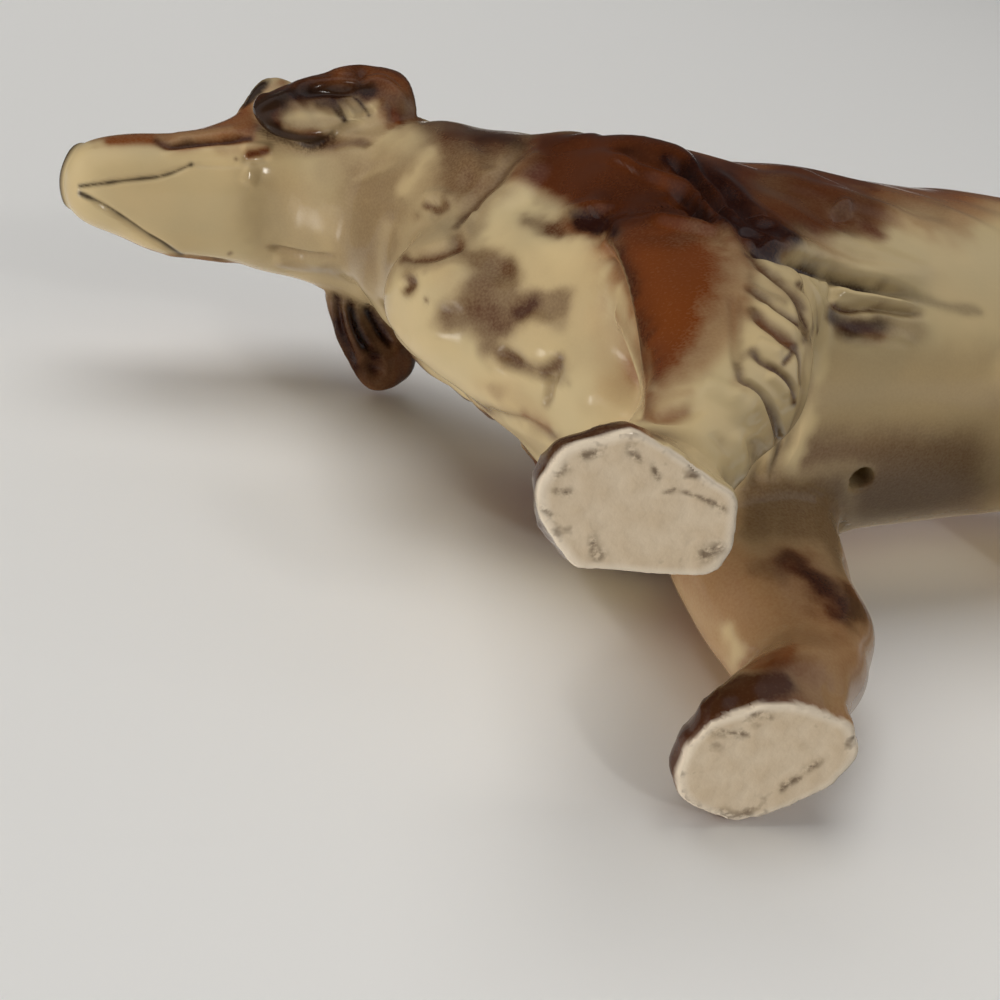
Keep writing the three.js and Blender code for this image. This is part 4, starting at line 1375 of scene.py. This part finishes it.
# Outline of the belly beside the right foreleg, cleaned and given a brown wash that is painted shade.
RIGHT_LEG_BELLY_SHADE = (
    (735, 470), (850, 470), (852, 560), (842, 586), (830, 572), (815, 550), (790, 546), (765, 546),
    (735, 540),
)


def paint_right_leg(coat):
    leg = ("right_foreleg",)
    for mask, *stroke in RIGHT_LEG_AND_CREASE_SHADE_STROKES:
        coat.paint(mask, *stroke, leg)
    for mask, value in (("rust", 0.1), ("umber", 1.0), ("deep", 0.55)):
        coat.fill(mask, PAW, value, 6, 1.0, leg)
    # Painted shade on the belly beside the right foreleg.
    coat.clean(RIGHT_LEG_BELLY_SHADE, 16, 1.0, ("torso", "right_foreleg"))
    coat.fill("umber", RIGHT_LEG_BELLY_SHADE, 0.78, 16, 1.0, ("torso", "right_foreleg"))


# Worn spots of the two soles: line and width
SOLE_SPOTS = (
    (((588, 459), (599, 453)), 6),
    (((630, 447), (634, 454), (640, 456)), 7),
    (((658, 461), (665, 466)), 7),
    (((676, 488), (688, 482)), 6),
    (((698, 490), (706, 499), (720, 509)), 7),
    (((562, 477), (572, 470)), 6),
    (((562, 492), (574, 494)), 5),
    (((592, 544), (597, 556)), 8),
    (((690, 544), (706, 540)), 6),
    (((546, 508), (552, 514)), 6),
    (((718, 736), (736, 735), (746, 732)), 5),
    (((752, 714), (772, 716)), 4),
    (((687, 772), (690, 786), (700, 800)), 7),
    (((716, 810), (748, 816)), 6),
    (((790, 798), (806, 782)), 6),
    (((812, 770), (820, 764)), 5),
)


def mark_soles(coat):
    for pixels, width in SOLE_SPOTS:
        coat.paint("dirt", pixels, width, 0.9, 0.9, ("left_foreleg", "right_foreleg"))


for coat in COATS:
    ground_body(coat)
    ground_head(coat)
    eyes(coat)
    nose(coat)
    sculpt_ears(coat)
    paint_ears(coat)
    sculpt_chest(coat)
    sculpt_head(coat)
    sculpt_saddle(coat)
    sculpt_leg(coat)
    paint_head(coat)
    paint_neck(coat)
    paint_saddle(coat)
    paint_back(coat)
    paint_leg(coat)
    paint_chest(coat)
    paint_brow(coat)
    paint_right_leg(coat)
    mark_soles(coat)


# Outlines of the two soles in the photo
SOLE_OUTLINES = {
    "left_foreleg": (
        (538, 487), (550, 469), (561, 451), (597, 441), (630, 431), (663, 446), (695, 468), (723, 492),
        (737, 498), (738, 511), (731, 553), (717, 574), (657, 574), (616, 570), (575, 568), (556, 544),
        (541, 517),
    ),
    "right_foreleg": (
        (680, 791), (679, 775), (687, 750), (709, 725), (748, 712), (761, 706), (794, 706), (822, 714),
        (854, 729), (859, 755), (835, 783), (794, 805), (759, 818), (734, 821), (709, 813), (687, 802),
    ),
}
SOLE_RIM_TOP = 8.0
SOLE_BOTTOM = 0.3
ANGLES = np.linspace(-np.pi, np.pi, 73)
OUTLINE_STEPS = 40


def on_floor(pixels):
    """The points of the floor that lie at some pixels of the photo."""
    pixels = np.array(pixels, float)
    aim = np.column_stack(((pixels - PHOTO_SIZE / 2) / FOCAL_PIXELS, np.ones(len(pixels)))) @ CAMERA_ROWS
    return CAMERA_AT[:2] - aim[:, :2] * (CAMERA_AT[2] / aim[:, 2])[:, None]


def radii(offsets):
    """The outer radius of some flat points at each of the angles."""
    angle = np.arctan2(offsets[:, 1], offsets[:, 0])
    reach = np.hypot(offsets[:, 0], offsets[:, 1])
    bins = np.clip(np.digitize(angle, ANGLES) - 1, 0, len(ANGLES) - 2)
    outer = np.zeros(len(ANGLES) - 1)
    np.maximum.at(outer, bins, reach)
    middles = (ANGLES[:-1] + ANGLES[1:]) / 2
    filled = outer > 0
    return np.interp(ANGLES, middles[filled], outer[filled], period=2 * np.pi)


def shape_sole(coat, name):
    """Moves a paw's rim to the sole's outline in the photo, and finds how near each vertex is to the rim."""
    mine = np.nonzero(coat.is_node(name) & (coat.points[:, 2] < SOLE_RIM_TOP))[0]
    spots = coat.points[mine]
    bottom = spots[spots[:, 2] < SOLE_BOTTOM, :2]
    centre = bottom.mean(0)
    if name in SOLE_OUTLINES:
        outline = on_floor(SOLE_OUTLINES[name])
        steps = np.linspace(0, 1, OUTLINE_STEPS)[:, None]
        dense = np.vstack([a + (b - a) * steps for a, b in zip(outline, np.roll(outline, -1, 0))])
        centre = dense.mean(0)
    now = radii(bottom - centre)
    wanted = radii(dense - centre) if name in SOLE_OUTLINES else now
    offset = spots[:, :2] - centre
    angle = np.arctan2(offset[:, 1], offset[:, 0])
    ratio = np.interp(angle, ANGLES, wanted / now)
    fade = 1 - smoothstep(spots[:, 2], 0.5, SOLE_RIM_TOP)
    coat.points[mine, :2] += offset * ((ratio - 1) * fade)[:, None]
    ragged = spots[:, 2] + 0.3 * coat.warp[mine]
    coat.mask["bare"][mine] = 1 - smoothstep(ragged, 0.25, 0.6)
    coat.mask["edge"][mine] = np.hypot(offset[:, 0], offset[:, 1]) / np.interp(angle, ANGLES, now)


for name in LEGS:
    shape_sole(leg if name == FINE_LEG else body, name)


def linear(red, green, blue):
    """A colour written in 0 to 255, as linear light."""
    def channel(value):
        share = value / 255
        return share / 12.92 if share <= 0.04045 else ((share + 0.055) / 1.055) ** 2.4
    return (channel(red), channel(green), channel(blue), 1.0)


CREAM = linear(202, 180, 136)
CREAM_COOL = linear(192, 174, 134)
# The two browns below are the figurine's paints and also serve as painted shade.
UMBER_AND_SHADE = linear(84, 52, 30)
RUST_AND_SHADE = linear(121, 61, 18)
DEEP = linear(37, 12, 5)
LINE = linear(44, 31, 20)
BISQUE = linear(208, 191, 166)
BISQUE_WARM = linear(200, 181, 154)
BISQUE_RIM = linear(218, 204, 183)
DIRT = linear(84, 64, 46)


class Nodes:
    """Short calls for building a material's nodes."""

    def __init__(self, tree):
        self.tree = tree

    def add(self, kind, **values):
        node = self.tree.nodes.new(kind)
        for name, value in values.items():
            setattr(node, name, value)
        return node

    def link(self, output, target):
        self.tree.links.new(output, target)

    def mask(self, name):
        return self.add("ShaderNodeAttribute", attribute_name=name).outputs["Fac"]

    def noise(self, scale, detail=2.0, roughness=0.5):
        coordinates = self.add("ShaderNodeTexCoord")
        node = self.add("ShaderNodeTexNoise")
        node.inputs["Scale"].default_value = scale
        node.inputs["Detail"].default_value = detail
        node.inputs["Roughness"].default_value = roughness
        self.link(coordinates.outputs["Object"], node.inputs["Vector"])
        return node.outputs["Fac"]

    def scale(self, value, from_low, from_high, to_low, to_high):
        node = self.add("ShaderNodeMapRange")
        limits = {"From Min": from_low, "From Max": from_high, "To Min": to_low, "To Max": to_high}
        for name, number in limits.items():
            node.inputs[name].default_value = number
        self.link(value, node.inputs["Value"])
        return node.outputs["Result"]

    def multiply(self, a, b):
        node = self.add("ShaderNodeMath", operation="MULTIPLY", use_clamp=True)
        self.link(a, node.inputs[0])
        self.link(b, node.inputs[1])
        return node.outputs["Value"]

    def larger(self, a, b):
        node = self.add("ShaderNodeMath", operation="MAXIMUM")
        self.link(a, node.inputs[0])
        self.link(b, node.inputs[1])
        return node.outputs["Value"]

    def mix(self, factor, first, second):
        node = self.add("ShaderNodeMix", data_type="RGBA")
        self.link(factor, node.inputs["Factor"])
        for name, colour in (("A", first), ("B", second)):
            socket = [s for s in node.inputs if s.name == name and s.type == "RGBA"][0]
            if isinstance(colour, tuple):
                socket.default_value = colour
            else:
                self.link(colour, socket)
        return [s for s in node.outputs if s.type == "RGBA"][0]


def glaze_material(name):
    material = bpy.data.materials.new(name)
    material.use_nodes = True
    nodes = Nodes(material.node_tree)
    shader = material.node_tree.nodes["Principled BSDF"]
    cloud = nodes.noise(90)
    spray = nodes.scale(nodes.noise(3200, 1.0), 0.3, 0.7, 0.96, 1.08)
    colour = nodes.mix(nodes.scale(cloud, 0.35, 0.65, 0, 1), CREAM, CREAM_COOL)
    # The paint masks lay the figurine's brown paint, and also painted shade and painted highlights, into the
    # base colour.
    for mask, paint in (("umber", UMBER_AND_SHADE), ("rust", RUST_AND_SHADE), ("deep", DEEP)):
        colour = nodes.mix(nodes.multiply(nodes.mask(mask), spray), colour, paint)
    colour = nodes.mix(nodes.mask("line"), colour, LINE)
    colour = nodes.mix(nodes.mask("bare"), colour, BISQUE_RIM)
    nodes.link(colour, shader.inputs["Base Color"])
    nodes.link(nodes.scale(cloud, 0.3, 0.7, 0.14, 0.22), shader.inputs["Roughness"])
    shader.inputs["IOR"].default_value = 1.5
    shader.inputs["Specular IOR Level"].default_value = 0.28
    bump = nodes.add("ShaderNodeBump")
    bump.inputs["Strength"].default_value = 0.05
    bump.inputs["Distance"].default_value = 0.0006
    nodes.link(nodes.noise(420, 2.0), bump.inputs["Height"])
    nodes.link(bump.outputs["Normal"], shader.inputs["Normal"])
    return material


def bisque_material():
    material = bpy.data.materials.new("bisque")
    material.use_nodes = True
    nodes = Nodes(material.node_tree)
    shader = material.node_tree.nodes["Principled BSDF"]
    grain = nodes.scale(nodes.noise(500, 4.0), 0.35, 0.65, 0, 1)
    colour = nodes.mix(grain, BISQUE, BISQUE_WARM)
    edge = nodes.mask("edge")
    rim = nodes.scale(edge, 0.86, 0.95, 0, 1)
    colour = nodes.mix(rim, colour, BISQUE_RIM)
    spots = nodes.scale(nodes.noise(380, 3.0, 0.55), 0.6, 0.74, 0, 1)
    outer = nodes.scale(edge, 0.5, 0.85, 0.05, 0.8)
    colour = nodes.mix(nodes.multiply(spots, outer), colour, DIRT)
    crumbs = nodes.scale(nodes.noise(1300, 3.0, 0.6), 0.36, 0.56, 0, 1)
    colour = nodes.mix(nodes.multiply(nodes.mask("dirt"), crumbs), colour, DIRT)
    nodes.link(colour, shader.inputs["Base Color"])
    shader.inputs["Roughness"].default_value = 0.85
    bump = nodes.add("ShaderNodeBump")
    bump.inputs["Strength"].default_value = 0.35
    bump.inputs["Distance"].default_value = 0.0006
    nodes.link(nodes.noise(500, 4.0), bump.inputs["Height"])
    nodes.link(bump.outputs["Normal"], shader.inputs["Normal"])
    return material


glaze = glaze_material("glaze")
bisque = bisque_material()


def open_edges(quads):
    """The edges that only one face has, as they run in that face."""
    starts = quads.ravel()
    ends = np.roll(quads, -1, axis=1).ravel()
    keys = np.minimum(starts, ends) * (quads.max() + 1) + np.maximum(starts, ends)
    _, first, count = np.unique(keys, return_index=True, return_counts=True)
    single = first[count == 1]
    return starts[single], ends[single]


def caps(points, normals, quads):
    """A fan over each open end of a piece, sunk below the skin, with the fans' middle points."""
    follow = {}
    for a, b in zip(*open_edges(quads)):
        follow.setdefault(int(a), []).append(int(b))
    middles = []
    fans = []
    while follow:
        first = next(iter(follow))
        loop = [first]
        while True:
            targets = follow[loop[-1]]
            step = targets.pop()
            if not targets:
                del follow[loop[-1]]
            if step == first or step not in follow:
                break
            loop.append(step)
        centre = len(points) + len(middles)
        middle = points[loop].mean(0)
        reach = np.linalg.norm(points[loop] - middle, axis=1).mean()
        middles.append(middle - normals[loop].mean(0) * reach)
        for a, b in zip(loop, loop[1:] + loop[:1]):
            fans.append((b, a, centre))
    return middles, fans


SOLE_LEVEL = 0.12


def seam_dip(count, quads, voxel):
    """How far the skin dips at each vertex, so that the pieces' edges pass under each other at a seam."""
    rings = max(2, int(round(SEAM_REACH / voxel)))
    ring = np.full(count, rings)
    ring[np.concatenate(open_edges(quads))] = 0
    for _ in range(rings):
        nearest = ring[quads].min(1, keepdims=True) + 1
        for corner in range(4):
            np.minimum.at(ring, quads[:, corner], nearest[:, 0])
    return SEAM_DIP * (1 - smoothstep(ring, 0, rings))


def make_piece(coat, name, voxel):
    """One node's part of a coat, closed and with its paint."""
    chosen = coat.owners == NODES.index(name)
    used, quads = np.unique(coat.quads[chosen], return_inverse=True)
    quads = quads.reshape(-1, 4)
    dip = seam_dip(len(used), quads, voxel)
    points = coat.shaped[used] - coat.shaped_normals[used] * dip[:, None]
    middles, fans = caps(points, coat.shaped_normals[used], quads)
    mesh = bpy.data.meshes.new(name)
    vertices = np.vstack([points] + [m[None] for m in middles])
    mesh.from_pydata((vertices * MM).tolist(), [], quads.tolist() + fans)
    mesh.materials.append(glaze)
    if name in LEGS:
        mesh.materials.append(bisque)
        sole = np.all(points[quads][:, :, 2] < SOLE_LEVEL, axis=1).astype(np.int32)
        mesh.polygons.foreach_set("material_index", np.concatenate((sole, np.zeros(len(fans), np.int32))))
    mesh.shade_smooth()
    normals = np.vstack((coat.shaped_normals[used], np.zeros((len(middles), 3))))
    for mask, values in coat.mask.items():
        attribute = mesh.attributes.new(mask, "FLOAT", "POINT")
        padded = np.concatenate((np.clip(values[used], 0, 1), np.zeros(len(middles))))
        attribute.data.foreach_set("value", padded.astype(np.float32))
    mesh.normals_split_custom_set_from_vertices(normals.tolist())
    piece = bpy.data.objects.new(name + "_glazed", mesh)
    bpy.context.collection.objects.link(piece)
    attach(piece, "root")
    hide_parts(name)
    return piece


FLAT_BELOW = 0.4
PIECES = (
    (body, BODY_NODES, BODY_VOXEL),
    (leg, (FINE_LEG,), FINE_VOXEL),
    (head, HEAD_NODES, FINE_VOXEL),
)
for coat, names, voxel in PIECES:
    coat.height[coat.points[:, 2] < FLAT_BELOW] = 0
    coat.shaped = coat.points + coat.normals * coat.height[:, None]
    coat.shaped_normals = vertex_normals(coat.shaped, coat.quads)
    for name in names:
        make_piece(coat, name, voxel)

# Stage: the table that the dog lies on in the photo, and a floor under its feet for other views
TABLE_AT_SOLES = -19.0
TABLE_SLOPE = -0.063
STAGE_REACH = 1500.0
FLOOR_LEVEL = -0.2


def stage_material(name, colour):
    material = bpy.data.materials.new(name)
    material.use_nodes = True
    nodes = Nodes(material.node_tree)
    shader = material.node_tree.nodes["Principled BSDF"]
    shader.inputs["Base Color"].default_value = colour
    shader.inputs["Roughness"].default_value = 0.6
    clear = nodes.add("ShaderNodeBsdfTransparent")
    both = nodes.add("ShaderNodeMixShader")
    geometry = nodes.add("ShaderNodeNewGeometry")
    nodes.link(geometry.outputs["Backfacing"], both.inputs["Fac"])
    nodes.link(shader.outputs["BSDF"], both.inputs[1])
    nodes.link(clear.outputs["BSDF"], both.inputs[2])
    nodes.link(both.outputs["Shader"], material.node_tree.nodes["Material Output"].inputs["Surface"])
    return material


def stage_plane(name, corners, material):
    mesh = bpy.data.meshes.new(name)
    mesh.from_pydata([tuple(c * MM for c in corner) for corner in corners], [], [(0, 1, 2, 3)])
    mesh.materials.append(material)
    plane = bpy.data.objects.new(name, mesh)
    bpy.context.collection.objects.link(plane)
    plane.visible_shadow = False
    plane.visible_diffuse = False
    return plane


near_y = TABLE_AT_SOLES - TABLE_SLOPE * STAGE_REACH
far_y = TABLE_AT_SOLES + TABLE_SLOPE * STAGE_REACH
table_top = stage_material("table_top", linear(234, 235, 235))
stage_plane(
    "table",
    (
        (-STAGE_REACH, near_y, -STAGE_REACH),
        (-STAGE_REACH, far_y, STAGE_REACH),
        (STAGE_REACH, far_y, STAGE_REACH),
        (STAGE_REACH, near_y, -STAGE_REACH),
    ),
    table_top,
)
floor = stage_plane(
    "floor",
    (
        (-STAGE_REACH, -STAGE_REACH, FLOOR_LEVEL),
        (STAGE_REACH, -STAGE_REACH, FLOOR_LEVEL),
        (STAGE_REACH, STAGE_REACH, FLOOR_LEVEL),
        (-STAGE_REACH, STAGE_REACH, FLOOR_LEVEL),
    ),
    table_top,
)
floor.visible_glossy = False

camera_data = bpy.data.cameras.new("camera")
camera_data.sensor_width = 36
camera_data.lens = camera_data.sensor_width * FOCAL_PIXELS / PHOTO_SIZE
camera_data.clip_start = 0.001
camera = bpy.data.objects.new("camera", camera_data)
axes = np.eye(4)
axes[:3, 0] = CAMERA_ROWS[0]
axes[:3, 1] = -CAMERA_ROWS[1]
axes[:3, 2] = -CAMERA_ROWS[2]
axes[:3, 3] = CAMERA_AT * MM
camera.matrix_world = Matrix(axes.tolist())
bpy.context.collection.objects.link(camera)
bpy.context.scene.camera = camera

# Light of the dome, and the pale backdrop near the horizon that the camera and reflections see
DOME_AXIS = (0.15, 0.6, 0.8)
DOME_LOW = 0.05
DOME_HIGH = 0.14
DOME_FROM = -0.3
DOME_TO = 0.8
BACKDROP = 0.6
PALE_UP_TO = 0.25
DARK_FROM = 0.6
SKY_COLOUR = linear(247, 250, 255)

world = bpy.data.worlds.new("world")
bpy.context.scene.world = world
world.use_nodes = True
sky = Nodes(world.node_tree)
background = world.node_tree.nodes["Background"]
background.inputs["Color"].default_value = SKY_COLOUR
direction = sky.add("ShaderNodeTexCoord")
toward = sky.add("ShaderNodeVectorMath", operation="DOT_PRODUCT")
sky.link(direction.outputs["Generated"], toward.inputs[0])
toward.inputs[1].default_value = Vector(DOME_AXIS).normalized()
dome = sky.scale(toward.outputs["Value"], DOME_FROM, DOME_TO, DOME_LOW, DOME_HIGH)
sky.link(dome, background.inputs["Strength"])
seen = sky.add("ShaderNodeBackground")
seen.inputs["Color"].default_value = SKY_COLOUR
height = sky.add("ShaderNodeSeparateXYZ")
sky.link(direction.outputs["Generated"], height.inputs["Vector"])
from_horizon = sky.add("ShaderNodeMath", operation="ABSOLUTE")
sky.link(height.outputs["Z"], from_horizon.inputs[0])
backdrop = sky.scale(from_horizon.outputs["Value"], PALE_UP_TO, DARK_FROM, BACKDROP, DOME_LOW)
sky.link(backdrop, seen.inputs["Strength"])
path = sky.add("ShaderNodeLightPath")
choice = sky.add("ShaderNodeMixShader")
seen_or_mirrored = sky.larger(path.outputs["Is Camera Ray"], path.outputs["Is Glossy Ray"])
sky.link(sky.larger(seen_or_mirrored, path.outputs["Is Transmission Ray"]), choice.inputs["Fac"])
sky.link(background.outputs["Background"], choice.inputs[1])
sky.link(seen.outputs["Background"], choice.inputs[2])
sky.link(choice.outputs["Shader"], world.node_tree.nodes["World Output"].inputs["Surface"])


LIGHT_COLOUR = linear(255, 251, 245)


def area_light(name, toward, distance, size, power, diffuse, glossy):
    light = bpy.data.lights.new(name, "AREA")
    light.energy = power
    light.shape = "RECTANGLE"
    light.size = size[0]
    light.size_y = size[1]
    light.color = LIGHT_COLOUR[:3]
    lamp = bpy.data.objects.new(name, light)
    lamp.location = Vector(LEFT_SOLE * MM) + Vector(toward).normalized() * distance
    lamp.rotation_euler = Vector(toward).to_track_quat("Z", "Y").to_euler()
    lamp.visible_diffuse = diffuse
    lamp.visible_glossy = glossy
    bpy.context.collection.objects.link(lamp)


# Lights: name, direction and distance from the left sole, size, power, lights surfaces, shows in the glaze
LIGHTS = (
    ("key", (0.12, 0.93, 0.3), 1.6, (1.4, 1.4), 16.0, True, False),
    ("fill", (0.84, -0.22, -0.5), 1.0, (0.35, 0.45), 8.8, True, False),
    ("gloss", (0.93, -0.34, -0.14), 0.6, (0.13, 0.05), 0.55, False, True),
    ("low_fill", (-0.45, 0.5, -0.75), 0.35, (0.28, 0.28), 0.34, True, False),
    ("overhead", (0.1, 0.3, 0.95), 1.6, (1.2, 1.2), 5.0, True, False),
    ("back", (0.0, -0.85, 0.5), 1.4, (1.2, 1.2), 12.0, True, False),
    ("lamp", (-0.25, 0.55, -0.85), 0.6, (0.05, 0.05), 0.5, True, True),
)
for row in LIGHTS:
    area_light(*row)
bpy.context.scene.view_settings.view_transform = "Standard"
